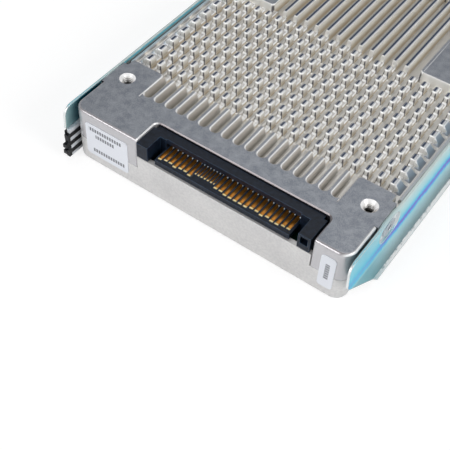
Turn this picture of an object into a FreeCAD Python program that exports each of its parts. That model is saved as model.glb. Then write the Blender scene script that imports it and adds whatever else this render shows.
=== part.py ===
import FreeCAD, Part
import math
import os
import re

import Sketcher

# A 2.5 inch, 15 mm thick solid state drive in its hot-plug carrier.
#
# Frame: X across the drive, Y from the connector end (negative) to the carrier's front
# (positive), Z up, with the finned face of the drive on top. The origin is the middle of
# the surface that the whole carrier rests on. Lengths are in millimetres.
#
# Depths along the drive are measured from its connector end, which lies at "rear".

doc = FreeCAD.newDocument("SolidStateDrive")
sheet = doc.addObject("Spreadsheet::Sheet", "Sizes")
os.makedirs("parts", exist_ok=True)

SIZES = [
    # the drive's outside
    ("drive_width", 69.85), ("drive_length", 100.45), ("drive_height", 15.0),
    ("corner_radius", 2.8), ("top_edge_radius", 0.7), ("foot_edge_radius", 1.5),
    ("end_inset", 0.25), ("end_length", 10.0),
    ("seam_height", 6.85), ("seam_gap", 0.1),
    ("casting_wall", 1.6), ("deck_thickness", 1.4),
    ("cover_wall", 1.2), ("cover_floor", 1.5),
    # the cooling pins, fins and slots
    ("pin_pitch", 3.0), ("row_pitch", 4.315), ("channel_width", 2.0), ("channel_depth", 3.0),
    ("cross_width", 2.25), ("cross_depth", 2.0), ("draft_angle", 3.5),
    ("slot_start", 12.0), ("cross_start", 19.95), ("fins_end", 88.0),
    ("field_inner", 19.9), ("field_border", 0.65), ("field_recess", 0.12), ("field_end", 82.0),
    ("slope_top", 32.1), ("slope_foot", 33.9), ("rim_width", 0.45), ("rim_drop", 1.2),
    ("notch_width", 1.2), ("notch_length", 2.2),
    # the standard fixing holes
    ("hole_half", 30.86), ("hole_front", 14.0), ("hole_rear", 90.6), ("hole_radius", 1.25),
    ("hole_depth", 3.6), ("hole_chamfer", 0.6), ("side_hole_drop", 3.0), ("side_hole_depth", 2.3),
    # the connector
    ("connector_offset", 4.8), ("mouth_width", 43.8), ("mouth_depth", 7.15),
    ("mouth_radius", 1.3), ("mouth_edge", 0.25), ("mouth_gap", 0.1),
    ("plug_height", 14.3), ("plug_depth", 7.0), ("plug_back", 2.5), ("plug_corner", 0.9),
    ("ear_width", 2.85), ("ear_foot", 10.4), ("ear_step", 2.0), ("recess_foot", 11.8),
    ("recess_top", 13.8), ("recess_depth", 3.0), ("recess_side", 0.6), ("recess_width", 1.7),
    ("tongue_top", 11.6), ("tongue_thickness", 1.3), ("key_left", 4.0), ("key_right", 1.5),
    ("key_inset", 0.9), ("key_drop", 0.5), ("hood_depth", 5.95), ("hood_top", 12.9),
    ("tongue_left", 17.4), ("tongue_right", 16.2), ("groove_floor", 11.4), ("leg_depth", 6.3),
    ("plug_width", 43.0), ("lock_radius", 0.6), ("lock_depth", 4.2), ("lock_rise", 1.5),
    ("lock_proud", 0.4), ("contact_step", 0.4), ("leg_thickness", 0.2),
    ("tongue_front", 0.5), ("contact_pitch", 1.27), ("fine_pitch", 0.8), ("contact_width", 0.86),
    ("fine_width", 0.42), ("contact_height", 0.14), ("groove_side", 0.05),
    ("wide_start", 16.73), ("fine_start", 8.26), ("power_start", 2.6), ("contact_tip", 0.75),
    ("fine_tip", 1.9), ("front_rise", 10.2),
    # the boards and what they carry
    ("board_inset", 0.3), ("board_thickness", 1.2), ("board_top", 8.5),
    ("lower_board_top", 4.5), ("lower_board_thickness", 1.0),
    ("post_radius", 2.0), ("post_side", 30.9), ("post_end", 4.6), ("cover_screw_radius", 0.8),
    ("boss_radius", 2.4), ("boss_side", 29.5), ("boss_end", 11.8), ("board_screw_radius", 0.8),
    ("screw_clearance", 0.06), ("cover_screw_seat", 0.8), ("cover_head_radius", 1.6),
    ("cover_screw_inset", 0.05), ("cover_screw_gap", 1.0),
    ("board_head_radius", 1.7), ("board_head_height", 1.0), ("tip_gap", 0.3),
    ("lower_board_half", 26), ("lower_board_start", 12), ("lower_board_end", 8),
    ("link_half", 11), ("link_length", 4.5), ("link_near", 24), ("link_away", 84),
    ("chip_height", 1.2), ("controller_height", 1.4), ("controller_side", 17.0),
    ("flash_width", 14), ("flash_length", 18), ("memory_width", 9), ("memory_length", 13),
    ("thermal_width", 12), ("thermal_length", 15), ("capacitor_width", 7.3),
    ("capacitor_length", 4.3), ("capacitor_gap", 0.2),
    # the rails
    ("rail_top_half", 35.8), ("rail_crease_half", 36.2), ("rail_foot_half", 37.05),
    ("rail_lip_reach", 0.65), ("rail_thickness", 0.5), ("rail_crease_height", 8.9),
    ("rail_foot_height", 1.0), ("rail_lip_height", 0.4), ("rail_nose", 1.85),
    ("nose_radius", 2.3), ("nose_height", 8.0), ("nose_length", 11.5), ("block_window", 8.5),
    ("dimple_length", 9.0), ("dimple_height", 5.4), ("dimple_floor", 0.45),
    ("dimple_gap", 0.05), ("dimple_wall", 0.4), ("screw_shank", 1.2), ("screw_head", 2.1),
    ("screw_head_depth", 0.5), ("socket_radius", 0.9), ("socket_depth", 0.4),
    ("rail_front_gap", 0.3), ("nose_rise", 0.8), ("nose_run", 0.6),
    ("tail_start", 2.6), ("tail_end", 9.4), ("tail_foot", 6.2), ("tail_top", 8.3),
    # the contact block at the end of the left rail
    ("block_reach", 3.1), ("block_tooth", 0.85), ("block_length", 11.0), ("block_inner", 35.1),
    ("block_outer", 36.9), ("block_core", 0.9), ("block_foot", 0.4), ("block_pitch", 2.3),
    ("core_height", 7.8), ("fin_foot", 1.0), ("fin_thickness", 1.1), ("fin_end_gap", 2.0),
    ("tooth_length", 0.8), ("tooth_foot", 0.2), ("tooth_pitch", 3.3), ("tooth_height", 2.9),
    ("nub_rise", 1.5), ("nub_height", 1.0),
    ("strip_recess", 0.2), ("strip_end_gap", 2.2), ("flex_thickness", 0.15), ("flex_gap", 0.02),
    ("flex_foot", 2.4), ("flex_top", 7.6), ("flex_end", 9.0), ("flex_fold", 3.0),
    # the carrier's front
    ("bezel_gap", 1.55), ("bezel_depth", 16.0), ("bezel_wall", 1.3), ("front_wall", 2.0),
    ("flange_thickness", 2.5), ("flange_half", 38.0), ("flange_height", 15.6),
    ("bezel_half", 34.9), ("bezel_foot", 0.5), ("bezel_top", 14.9),
    ("vent_width", 2.4), ("vent_height", 8.4), ("vent_pitch", 5.0), ("fix_depth", 8.0),
    ("spacer_reach", 1.6), ("spacer_half", 2.5), ("spacer_drop", 2.0),
    ("hinge_start", 36.0), ("hinge_end", 28.4), ("hinge_reach", 2.8), ("hinge_thickness", 2.4),
    ("cam_slot", 33.2), ("cam_slot_depth", 1.9),
    # the lever
    ("lever_space", 6.7), ("lever_gap", 0.7), ("lever_foot", 2.7), ("lever_height", 10.2),
    ("lever_thickness", 4.2), ("pivot_side", 32.0), ("pivot_forward", 3.7), ("barrel_radius", 3.0),
    ("pin_radius", 1.0), ("pin_fit", 0.05), ("lever_end", 23.7), ("grip_length", 10.0),
    ("cam_reach", 5.3), ("cam_thickness", 2.2), ("grip_thickness", 2.6), ("vent_margin", 1.4),
    ("coil_space", 2.0), ("coil_radius", 1.7), ("coil_play", 0.6), ("wire", 0.5),
    ("coil_pitch", 0.95), ("coil_gap", 0.02),
    # the release button, its catch and the light pipes
    ("button_middle", 30.6), ("button_width", 4.6), ("button_foot", 3.4), ("button_height", 6.2),
    ("button_rear", 12.4), ("button_proud", 5.5), ("running_gap", 0.3), ("collar_width", 0.5),
    ("collar_depth", 1.3), ("spring_seat", 1.5), ("spring_space", 3.6), ("spring_radius", 2.0),
    ("catch_thickness", 0.4), ("catch_hook", 1.2), ("catch_root", 1.9),
    ("seat_foot", 0.7), ("seat_top", 9.8), ("catch_inset", 2.2), ("catch_slot", 2.0),
    ("pipe_side", 26.2), ("pipe_radius", 0.9), ("pipe_low", 5.2), ("pipe_high", 10.4),
    ("pipe_start", 11.4), ("lamp_half", 1.4), ("lamp_foot", 3.6), ("lamp_top", 12.0),
    ("lamp_board_top", 7.4), ("lamp_board_thickness", 1.0), ("lamp_board_end", 27.6),
    ("lamp_board_depth", 10.4), ("lamp_wall", 9.4),
    # the two stickers on the connector end
    ("left_label_start", 31.35), ("left_label_end", 19.6), ("left_label_foot", 3.2),
    ("left_label_top", 12.3), ("right_label_start", 28.8), ("right_label_end", 32.2),
    ("right_label_foot", 3.1), ("right_label_top", 12.5), ("label_thickness", 0.1),
    ("label_corner", 0.8),
]

for row, (alias, value) in enumerate(SIZES, start=1):
    sheet.set("A%d" % row, alias)
    sheet.set("B%d" % row, str(value))
    sheet.setAlias("B%d" % row, alias)
doc.recompute()

ALIASES = {alias for alias, value in SIZES}

# Places worked out from the driving dimensions, for use inside other expressions.
PLACES = {
    "half": "(drive_width / 2)",
    "total": "(block_reach + drive_length + bezel_gap + bezel_depth + flange_thickness + lever_space)",
    "rear": "(block_reach - total / 2)",
    "far": "(rear + drive_length)",
    "top": "drive_height",
    "rail_lip_half": "(rail_foot_half + rail_lip_reach)",
    "channel_floor": "(drive_height - channel_depth)",
    "deck_under": "(drive_height - channel_depth - deck_thickness)",
    "cross_end": "(cross_start + 8 * row_pitch + cross_width)",
    "mouth_left": "(connector_offset - mouth_width / 2)",
    "mouth_right": "(connector_offset + mouth_width / 2)",
    "plug_left": "(mouth_left + mouth_gap)",
    "plug_right": "(mouth_left + mouth_gap + plug_width)",
    "bezel_rear": "(far + bezel_gap)",
    "bezel_front": "(bezel_rear + bezel_depth)",
    "flange_front": "(bezel_front + flange_thickness)",
    "lever_back": "(flange_front + lever_gap)",
    "pivot_y": "(flange_front + pivot_forward)",
    "board_under": "(board_top - board_thickness)",
    "lower_under": "(lower_board_top - lower_board_thickness)",
    "side_hole_z": "(drive_height - side_hole_drop)",
    "button_left": "(button_middle - button_width / 2)",
    "button_right": "(button_middle + button_width / 2)",
    "catch_face": "(lever_end + running_gap)",
}


def bound(expression):
    """The expression with every named size pointed at its cell in the sheet."""
    text = str(expression)
    while set(re.findall(r"[a-z_]+", text)) & set(PLACES):
        text = re.sub(r"[a-z_]+", lambda word: PLACES.get(word.group(), word.group()), text)
    return re.sub(r"[a-z_]+", lambda word: "Sizes." + word.group()
                  if word.group() in ALIASES else word.group(), text)


def size(expression):
    """The value of an expression, in millimetres or degrees."""
    return float(sheet.evalExpression(bound(expression).replace("Sizes.", "")))


def less(expression):
    """The negative of an expression, for what lies on the left."""
    return "-(%s)" % expression


def block(name, x, y, z):
    """A box between three pairs of places."""
    item = doc.addObject("Part::Box", name)
    for side, axis, (low, high) in zip(("Length", "Width", "Height"), "xyz", (x, y, z)):
        item.setExpression(side, bound("(%s) - (%s)" % (high, low)))
        item.setExpression("Placement.Base." + axis, bound(low))
    return item


TURNS = {"z": FreeCAD.Rotation(), "y": FreeCAD.Rotation(FreeCAD.Vector(1, 0, 0), -90),
         "x": FreeCAD.Rotation(FreeCAD.Vector(0, 1, 0), 90)}


def rod(name, axis, low, high, across, radius, kind="Part::Cylinder", radius_high=None):
    """A cylinder or cone along an axis from low to high, at two places across it."""
    item = doc.addObject(kind, name)
    item.Placement = FreeCAD.Placement(FreeCAD.Vector(), TURNS[axis])
    places = dict(zip([other for other in "xyz" if other != axis], across))
    places[axis] = low
    for other, place in places.items():
        item.setExpression("Placement.Base." + other, bound(place))
    item.setExpression("Height", bound("(%s) - (%s)" % (high, low)))
    if kind == "Part::Cone":
        item.setExpression("Radius1", bound(radius))
        item.setExpression("Radius2", bound(radius_high))
    else:
        item.setExpression("Radius", bound(radius))
    return item


def fused(name, items):
    item = doc.addObject("Part::MultiFuse", name)
    item.Shapes = items
    return item


def cut(name, base, tools):
    tool = tools[0] if len(tools) == 1 else fused(name + "_tools", tools)
    item = doc.addObject("Part::Cut", name)
    item.Base = base
    item.Tool = tool
    return item


def gathered(name, items):
    """Like pieces that share one node as separate solids."""
    item = doc.addObject("Part::Compound", name)
    item.Links = items
    return item


def origin_feature(body, role):
    return [item for item in body.Origin.OriginFeatures if item.Role == role][0]


def sketch_on(body, role, offset):
    """A sketch on one of the body's own planes, moved along its normal."""
    sketch = body.newObject("Sketcher::SketchObject", body.Name + "_sketch")
    sketch.AttachmentSupport = [(origin_feature(body, role), "")]
    sketch.MapMode = "FlatFace"
    sketch.setExpression("AttachmentOffset.Base.z", bound(offset))
    return sketch


class Drawing:
    """Outlines gathered for one sketch, then added together with their dimensions."""

    def __init__(self):
        self.geometry = []
        self.constraints = []
        self.bindings = []

    def join(self, first, first_point, second, second_point):
        self.constraints.append(Sketcher.Constraint("Coincident", first, first_point, second, second_point))

    def drive(self, constraint, expression):
        self.bindings.append((len(self.constraints), bound(expression)))
        self.constraints.append(constraint)

    def tie(self, geometry, point, place):
        """Dimensions from the sketch's origin to a point, bound to two expressions."""
        for kind, expression in zip(("DistanceX", "DistanceY"), place):
            if expression is not None:
                constraint = Sketcher.Constraint(kind, -1, 1, geometry, point, size(expression))
                self.drive(constraint, expression)

    def polygon(self, points):
        """A closed outline of straight edges."""
        first = len(self.geometry)
        corners = [FreeCAD.Vector(size(u), size(v), 0) for u, v in points]
        for number, place in enumerate(points):
            following = (number + 1) % len(points)
            self.geometry.append(Part.LineSegment(corners[number], corners[following]))
            self.join(first + number, 2, first + following, 1)
            self.tie(first + number, 1, place)

    def rectangle(self, u_low, u_high, v_low, v_high):
        self.polygon([(u_low, v_low), (u_high, v_low), (u_high, v_high), (u_low, v_high)])

    def disc(self, centre, radius):
        first = len(self.geometry)
        place = FreeCAD.Vector(size(centre[0]), size(centre[1]), 0)
        self.geometry.append(Part.Circle(place, FreeCAD.Vector(0, 0, 1), size(radius)))
        self.tie(first, 3, centre)
        self.drive(Sketcher.Constraint("Radius", first, size(radius)), radius)

    def trough(self, u_low, u_high, v_low, v_high):
        """A long opening whose ends are broken by two 45 degree corners each."""
        inset = "(((%s) - (%s)) * 0.3)" % (u_high, u_low)
        self.polygon([(u_low + " + " + inset, v_low), (u_high + " - " + inset, v_low),
                      (u_high, v_low + " + " + inset), (u_high, v_high + " - " + inset),
                      (u_high + " - " + inset, v_high), (u_low + " + " + inset, v_high),
                      (u_low, v_high + " - " + inset), (u_low, v_low + " + " + inset)])

    def slot(self, u_low, u_high, v_low, v_high, along="v"):
        """A slot with half-round ends, along u or v."""
        first = len(self.geometry)
        if along == "v":
            inset = "(((%s) - (%s)) / 2)" % (u_high, u_low)
            start, end = "(%s) + %s" % (v_low, inset), "(%s) - %s" % (v_high, inset)
            middle = "(((%s) + (%s)) / 2)" % (u_low, u_high)
            corners = [(u_low, end), (u_low, start), (u_high, start), (u_high, end)]
            ends = [((middle, start), math.pi, (None, start)), ((middle, end), 0, (None, end))]
        else:
            inset = "(((%s) - (%s)) / 2)" % (v_high, v_low)
            start, end = "(%s) + %s" % (u_low, inset), "(%s) - %s" % (u_high, inset)
            middle = "(((%s) + (%s)) / 2)" % (v_low, v_high)
            corners = [(end, v_high), (start, v_high), (start, v_low), (end, v_low)]
            ends = [((start, middle), math.pi / 2, (start, None)),
                    ((end, middle), -math.pi / 2, (end, None))]
        points = [FreeCAD.Vector(size(u), size(v), 0) for u, v in corners]
        self.geometry.append(Part.LineSegment(points[0], points[1]))
        self.geometry.append(Part.LineSegment(points[2], points[3]))
        for centre, angle, held in ends:
            place = FreeCAD.Vector(size(centre[0]), size(centre[1]), 0)
            circle = Part.Circle(place, FreeCAD.Vector(0, 0, 1), size(inset))
            self.geometry.append(Part.ArcOfCircle(circle, angle, angle + math.pi))
        for line, point, number in ((0, 1, 0), (0, 2, 1), (1, 1, 2), (1, 2, 3)):
            self.tie(first + line, point, corners[number])
        self.join(first, 2, first + 2, 1)
        self.join(first + 1, 1, first + 2, 2)
        self.join(first + 1, 2, first + 3, 1)
        self.join(first, 1, first + 3, 2)
        self.tie(first + 2, 3, ends[0][2])
        self.tie(first + 3, 3, ends[1][2])

    def finish(self, sketch):
        sketch.addGeometry(self.geometry, False)
        sketch.addConstraint(self.constraints)
        for number, expression in self.bindings:
            sketch.setExpression("Constraints[%d]" % number, expression)


def drawn(*pieces):
    """A drawing made of pieces, each given as a method's name and its arguments."""
    drawing = Drawing()
    for name, *arguments in pieces:
        getattr(drawing, name)(*arguments)
    return drawing


def polygon(*points):
    return drawn(("polygon", points))


def rectangle(u_low, u_high, v_low, v_high):
    return drawn(("rectangle", u_low, u_high, v_low, v_high))


def disc(centre, radius):
    return drawn(("disc", centre, radius))


# Which way each origin plane's normal points along the frame's own axis.
NORMALS = {"XY_Plane": 1, "YZ_Plane": 1, "XZ_Plane": -1}


def extrude(body, kind, role, low, high, drawing, taper=None):
    """A pad or pocket between two places along the normal of an origin plane.

    A pad leaves its sketch along the normal, and a pocket against it, so the sketch
    lies at the end where each one starts."""
    along = NORMALS[role] * (1 if kind == "Pad" else -1)
    start = low if along > 0 else high
    offset = start if NORMALS[role] > 0 else less(start)
    sketch = sketch_on(body, role, offset)
    drawing.finish(sketch)
    feature = body.newObject("PartDesign::" + kind, body.Name + "_" + kind.lower())
    feature.Profile = sketch
    feature.setExpression("Length", bound("(%s) - (%s)" % (high, low)))
    if taper is not None:
        feature.setExpression("TaperAngle", bound(taper))
    doc.recompute()
    return feature


def edges_where(feature, test):
    """Names of the edges whose two ends and middle all pass a test."""
    names = []
    for number, edge in enumerate(feature.Shape.Edges, start=1):
        middle = edge.valueAt((edge.FirstParameter + edge.LastParameter) / 2)
        places = [vertex.Point for vertex in edge.Vertexes] + [middle]
        if all(test(place) for place in places):
            names.append("Edge%d" % number)
    return names


def softened(body, kind, measure, test):
    """A fillet or chamfer on the edges of the body's tip that pass a test."""
    base = body.Tip
    names = edges_where(base, test)
    feature = body.newObject("PartDesign::" + kind, body.Name + "_" + kind.lower())
    feature.Base = (base, names)
    feature.setExpression("Radius" if kind == "Fillet" else "Size", bound(measure))
    doc.recompute()
    return feature


def near(value, expression, tolerance=0.001):
    return abs(value - size(expression)) < tolerance


def new_body(name):
    return doc.addObject("PartDesign::Body", name)


def casting_plan(half):
    """The drive's plan: a little narrower near its ends than between them."""
    narrow = "(%s - end_inset)" % half
    side = [(narrow, "rear"), (narrow, "rear + end_length"), (half, "rear + end_length"),
            (half, "far - end_length"), (narrow, "far - end_length"), (narrow, "far")]
    return polygon(*(side + [(less(u), v) for u, v in reversed(side)]))


def upright_corner(point):
    """Whether a place lies on one of the drive's four upright corners."""
    at_side = near(abs(point.x), "half - end_inset")
    return at_side and (near(point.y, "rear") or near(point.y, "far"))


def end_rim(point):
    """Whether a place lies on the upper rim near either end of the drive."""
    at_end = point.y < size("rear + end_length + 0.001") or point.y > size("far - end_length - 0.001")
    return near(point.z, "top") and at_end and abs(point.x) < size("half - end_inset + 0.001")


def mouth_corner(point):
    """Whether a place lies on an inner corner of the connector's opening."""
    at_side = near(point.x, "mouth_left") or near(point.x, "mouth_right")
    return at_side and near(point.y, "rear + mouth_depth")


def mouth_rim(point):
    """Whether a place lies on the upper edge of the connector's opening."""
    across = size("mouth_left - 0.01") < point.x < size("mouth_right + 0.01")
    along = size("rear + top_edge_radius") < point.y < size("rear + mouth_depth + 0.01")
    return near(point.z, "top") and across and along


SIDES = (-1, 1)


def spanned(side, low, high):
    """Two places on the right, or their mirror images on the left."""
    return (low, high) if side > 0 else (less(high), less(low))


def four_places(across, depths):
    """A place on either side of the middle at each of two depths."""
    return [("%d * %s" % (side, across), depth) for side in SIDES for depth in depths]


def four_discs(across, rear_depth, far_depth, radius):
    places = four_places(across, (rear_depth, far_depth))
    return drawn(*(("disc", place, radius) for place in places))


BOSS_DEPTHS = ("rear + boss_end", "far - boss_end")
POST_DEPTHS = ("rear + post_end", "far - post_end")
HOLE_DEPTHS = ("rear + hole_front", "rear + hole_rear")


def boss_discs(radius):
    return four_discs("boss_side", *BOSS_DEPTHS, radius)


def post_discs(radius):
    return four_discs("post_side", *POST_DEPTHS, radius)


def deep(depth):
    """A place at a depth from the drive's connector end."""
    return "rear + %s" % depth


def make_casting_shell(body):
    """An open box whose roof is the cooling deck, with its bosses and long posts."""
    extrude(body, "Pad", "XY_Plane", "seam_height", "top", casting_plan("half"))
    softened(body, "Fillet", "corner_radius", upright_corner)
    softened(body, "Fillet", "top_edge_radius", end_rim)
    extrude(body, "Pocket", "XY_Plane", "seam_height - 1", "deck_under",
            rectangle("casting_wall - half", "half - casting_wall",
                      "rear + casting_wall", "far - casting_wall"))
    extrude(body, "Pad", "XY_Plane", "board_top", "deck_under + 0.2", boss_discs("boss_radius"))
    extrude(body, "Pad", "XY_Plane", "cover_floor", "deck_under + 0.2", post_discs("post_radius"))
    extrude(body, "Pocket", "XY_Plane", "seam_height - 1", "top + 1",
            rectangle("mouth_left", "mouth_right", "rear - 1", "rear + mouth_depth"))
    softened(body, "Fillet", "mouth_radius", mouth_corner)
    softened(body, "Chamfer", "mouth_edge", mouth_rim)


def cut_screw_holes(body):
    """Pilot holes for the inner screws, and the standard fixing holes."""
    extrude(body, "Pocket", "XY_Plane", "board_top", "deck_under",
            boss_discs("board_screw_radius + screw_clearance"))
    extrude(body, "Pocket", "XY_Plane", "cover_floor", "board_top",
            post_discs("cover_screw_radius + screw_clearance"))
    extrude(body, "Pocket", "XY_Plane", "top - hole_depth", "top",
            four_discs("hole_half", *HOLE_DEPTHS, "hole_radius"))
    extrude(body, "Pocket", "XY_Plane", "top - hole_chamfer", "top",
            four_discs("hole_half", *HOLE_DEPTHS, "hole_radius + hole_chamfer"), "-45")
    for side in SIDES:
        low, high = spanned(side, "half - side_hole_depth", "half + 0.2")
        holes = drawn(*(("disc", (depth, "side_hole_z"), "hole_radius") for depth in HOLE_DEPTHS))
        extrude(body, "Pocket", "YZ_Plane", low, high, holes)


def cut_side_steps(body):
    """Steps in the side edges, and outer pins that lean out to a low rim."""
    notches = Drawing()
    slopes = Drawing()
    foot = "(top - cross_depth)"
    rim = "(half - rim_width)"
    profile = [("slope_top", "top + 0.2"), ("slope_top", "top"), ("slope_foot", foot), (rim, foot),
               (rim, "top - rim_drop"), ("half + 0.2", "top - rim_drop"), ("half + 0.2", "top + 0.2")]
    for side in SIDES:
        low, high = spanned(side, "half - notch_width", "half + 0.2")
        for start in ("rear + cross_start - notch_length", "far - cross_start"):
            notches.rectangle(low, high, start, start + " + notch_length")
        slopes.polygon([(u if side > 0 else less(u), v) for u, v in profile])
    extrude(body, "Pocket", "XY_Plane", "top - cross_depth", "top + 0.2", notches)
    extrude(body, "Pocket", "XZ_Plane", "rear + cross_start", "far - cross_start", slopes)


def cut_fields(body):
    """The two smooth raised fields beside the fins, each with a shallow sunk panel."""
    panels = Drawing()
    for side in SIDES:
        low, high = spanned(side, "field_inner + field_border", "slope_top - field_border")
        panels.rectangle(low, high, "rear + cross_end + field_border", "rear + field_end")
    extrude(body, "Pocket", "XY_Plane", "top - field_recess", "top", panels)


def channel_places():
    """For each channel, its number from the middle and the depths it runs between."""
    behind = "(cross_end - cross_width / 2)"
    for number in range(-10, 11):
        start = "slot_start" if abs(number) < 9 else "(cross_start + cross_width / 2)"
        yield number, start, "fins_end" if abs(number) < 6 else behind


def cut_channels(body):
    """The drafted channels along the deck, wider beside the smooth raised fields."""
    channels = Drawing()
    wide = Drawing()
    for number, start, end in channel_places():
        middle = "%d * pin_pitch" % number
        channels.trough(middle + " - channel_width / 2", middle + " + channel_width / 2",
                        "rear + " + start, "rear + " + end)
    for side in SIDES:
        low, high = spanned(side, "6 * pin_pitch - channel_width / 2", "field_inner")
        wide.trough(low, high, "rear + cross_end - cross_width", "rear + fins_end")
    extrude(body, "Pocket", "XY_Plane", "channel_floor", "top", channels, "-draft_angle")
    extrude(body, "Pocket", "XY_Plane", "channel_floor", "top", wide, "-draft_angle")


def cut_cross_rows(body):
    """Shallower cuts across the channels, which part the lands into rows of pins."""
    rows = Drawing()
    for number in range(9):
        start = "rear + cross_start + %d * row_pitch" % number
        rows.rectangle("-slope_foot", "slope_foot", start, start + " + cross_width")
    extrude(body, "Pocket", "XY_Plane", "top - cross_depth", "top", rows, "-draft_angle")


def make_base_casting():
    """The finned upper half shell, which cools the drive and carries everything else."""
    body = new_body("base_casting")
    make_casting_shell(body)
    cut_screw_holes(body)
    cut_side_steps(body)
    cut_fields(body)
    cut_channels(body)
    cut_cross_rows(body)
    return body


def make_bottom_cover():
    """The smooth lower half shell, with its raised front edge under the connector."""
    body = new_body("bottom_cover")
    extrude(body, "Pad", "XY_Plane", "0", "seam_height - seam_gap", casting_plan("half"))
    softened(body, "Fillet", "corner_radius", upright_corner)
    extrude(body, "Pocket", "XY_Plane", "cover_floor", "seam_height",
            rectangle("cover_wall - half", "half - cover_wall", deep("cover_wall"), "far - cover_wall"))
    extrude(body, "Pad", "XY_Plane", "cover_floor", "front_rise",
            rectangle("mouth_left + mouth_gap", "mouth_right - mouth_gap", "rear", deep("cover_wall")))

    def foot_rim(point):
        return near(point.z, "0")

    softened(body, "Fillet", "foot_edge_radius", foot_rim)
    extrude(body, "Pocket", "XY_Plane", "0 - 0.1", "cover_floor", post_discs("cover_screw_radius + 0.1"))
    extrude(body, "Pocket", "XY_Plane", "0 - 0.1", "cover_screw_seat", post_discs("cover_head_radius + 0.2"))
    return body


def board_outline(front):
    """The main board's plan, with a notch round each of the cover's posts."""
    edge = "(half - casting_wall - board_inset)"
    notch = "(post_side - post_radius - board_inset)"
    end = "(far - casting_wall - board_inset)"
    side = [(notch, front), (notch, deep("(post_end + post_radius + board_inset)")),
            (edge, deep("(post_end + post_radius + board_inset)")),
            (edge, "far - post_end - post_radius - board_inset"),
            (notch, "far - post_end - post_radius - board_inset"), (notch, end)]
    return ("polygon", side + [(less(u), v) for u, v in reversed(side)])


def make_main_board():
    body = new_body("main_board")
    pieces = [board_outline(deep("(casting_wall + board_inset)"))]
    for place in four_places("boss_side", BOSS_DEPTHS):
        pieces.append(("disc", place, "board_screw_radius + 0.1"))
    for across in lock_places():
        pieces.append(("disc", (across, deep("lock_depth")), "lock_radius + 0.05"))
    extrude(body, "Pad", "XY_Plane", "board_under", "board_top", drawn(*pieces))
    return body


def make_flash_board():
    body = new_body("flash_board")
    extrude(body, "Pad", "XY_Plane", "lower_under", "lower_board_top",
            rectangle(less("lower_board_half"), "lower_board_half",
                      deep("lower_board_start"), "far - lower_board_end"))
    return body


def make_board_link():
    """The stacking connectors between the two boards."""
    items = []
    for start in ("link_near", "link_away"):
        along = (deep(start), deep(start + " + link_length"))
        items.append(block("board_" + start, (less("link_half"), "link_half"), along,
                           ("lower_board_top", "board_under")))
    return gathered("board_link", items)


def about(middle, width):
    """The two ends of a width that lies evenly about its middle."""
    return "%s - (%s) / 2" % (middle, width), "%s + (%s) / 2" % (middle, width)


def chips(name, places, width, length, low, high):
    """Flat blocks of one size, with their middles at a list of places on a board."""
    items = []
    for number, (across, depth) in enumerate(places):
        along = about(deep(depth), length)
        items.append(block("%s_%d" % (name, number), about(across, width), along, (low, high)))
    return gathered(name, items)


# Where the chips' middles lie on the boards: across from the middle, and depth.
UPPER_FLASH = [(across, depth) for depth in (31, 77) for across in (-21, 0, 21)]
LOWER_FLASH = [(across, depth) for depth in (40, 62) for across in (-16, 0, 16)]
MEMORY = [(-19, 54), (19, 54)]
CONTROLLER = [(0, 54)]
CAPACITORS = [(across, 93) for across in (-16, -8, 0, 8, 16)]


def make_chips():
    """The chips of both boards, the pads that carry their heat off, and the capacitors."""
    upper_top = "(board_top + controller_height)"
    lower_low = "(lower_under - chip_height)"
    side = "controller_side"
    flash = ("flash_width", "flash_length")
    thermal = ("thermal_width", "thermal_length")
    rows = [
        ("controller_chip", CONTROLLER, (side, side), "board_top", upper_top),
        ("flash_chips_upper", UPPER_FLASH, flash, "board_top", upper_top),
        ("flash_chips_lower", LOWER_FLASH, flash, lower_low, "lower_under"),
        ("memory_chips", MEMORY, ("memory_width", "memory_length"), "board_top", "board_top + chip_height"),
        ("thermal_pads_upper", UPPER_FLASH + CONTROLLER, thermal, upper_top, "deck_under"),
        ("thermal_pads_lower", LOWER_FLASH, thermal, "cover_floor", lower_low),
        ("holdup_capacitors", CAPACITORS, ("capacitor_width", "capacitor_length"), "board_top",
         "deck_under - capacitor_gap"),
    ]
    return {name: chips(name, places, *plan, low, high) for name, places, plan, low, high in rows}


def make_board_screws():
    """Screws up through the main board into the casting's bosses."""
    items = []
    foot = "board_under - board_head_height"
    for number, place in enumerate(four_places("boss_side", BOSS_DEPTHS)):
        head = rod("board_screw_head_%d" % number, "z", foot, "board_under", place, "board_head_radius")
        shank = rod("board_screw_shank_%d" % number, "z", foot, "deck_under - tip_gap", place,
                    "board_screw_radius")
        items.append(fused("board_screw_%d" % number, [head, shank]))
    return gathered("board_screws", items)


def make_cover_screws():
    """Screws from below, through the cover into the casting's posts."""
    items = []
    foot = "cover_screw_inset"
    for number, place in enumerate(four_places("post_side", POST_DEPTHS)):
        head = rod("cover_screw_head_%d" % number, "z", foot, "cover_screw_seat", place, "cover_head_radius")
        shank = rod("cover_screw_shank_%d" % number, "z", foot, "board_top - cover_screw_gap", place,
                    "cover_screw_radius")
        items.append(fused("cover_screw_%d" % number, [head, shank]))
    return gathered("cover_screws", items)


# Contact rows along the tongue: wide ones for one port, fine ones for the second port and
# wide ones for power. Each row has its first contact's place, its pitch, how many there are,
# their width, and the numbers of the longer ones, which mate first.
CONTACT_ROWS = {
    "signal_contacts": ("connector_offset - wide_start", "contact_pitch", 7, "contact_width", (0, 3, 6)),
    "second_port_contacts": ("connector_offset - fine_start", "fine_pitch", 7, "fine_width", ()),
    "power_contacts": ("connector_offset - power_start", "contact_pitch", 15, "contact_width",
                       (2, 3, 4, 5, 6, 9, 11, 12)),
}


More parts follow.
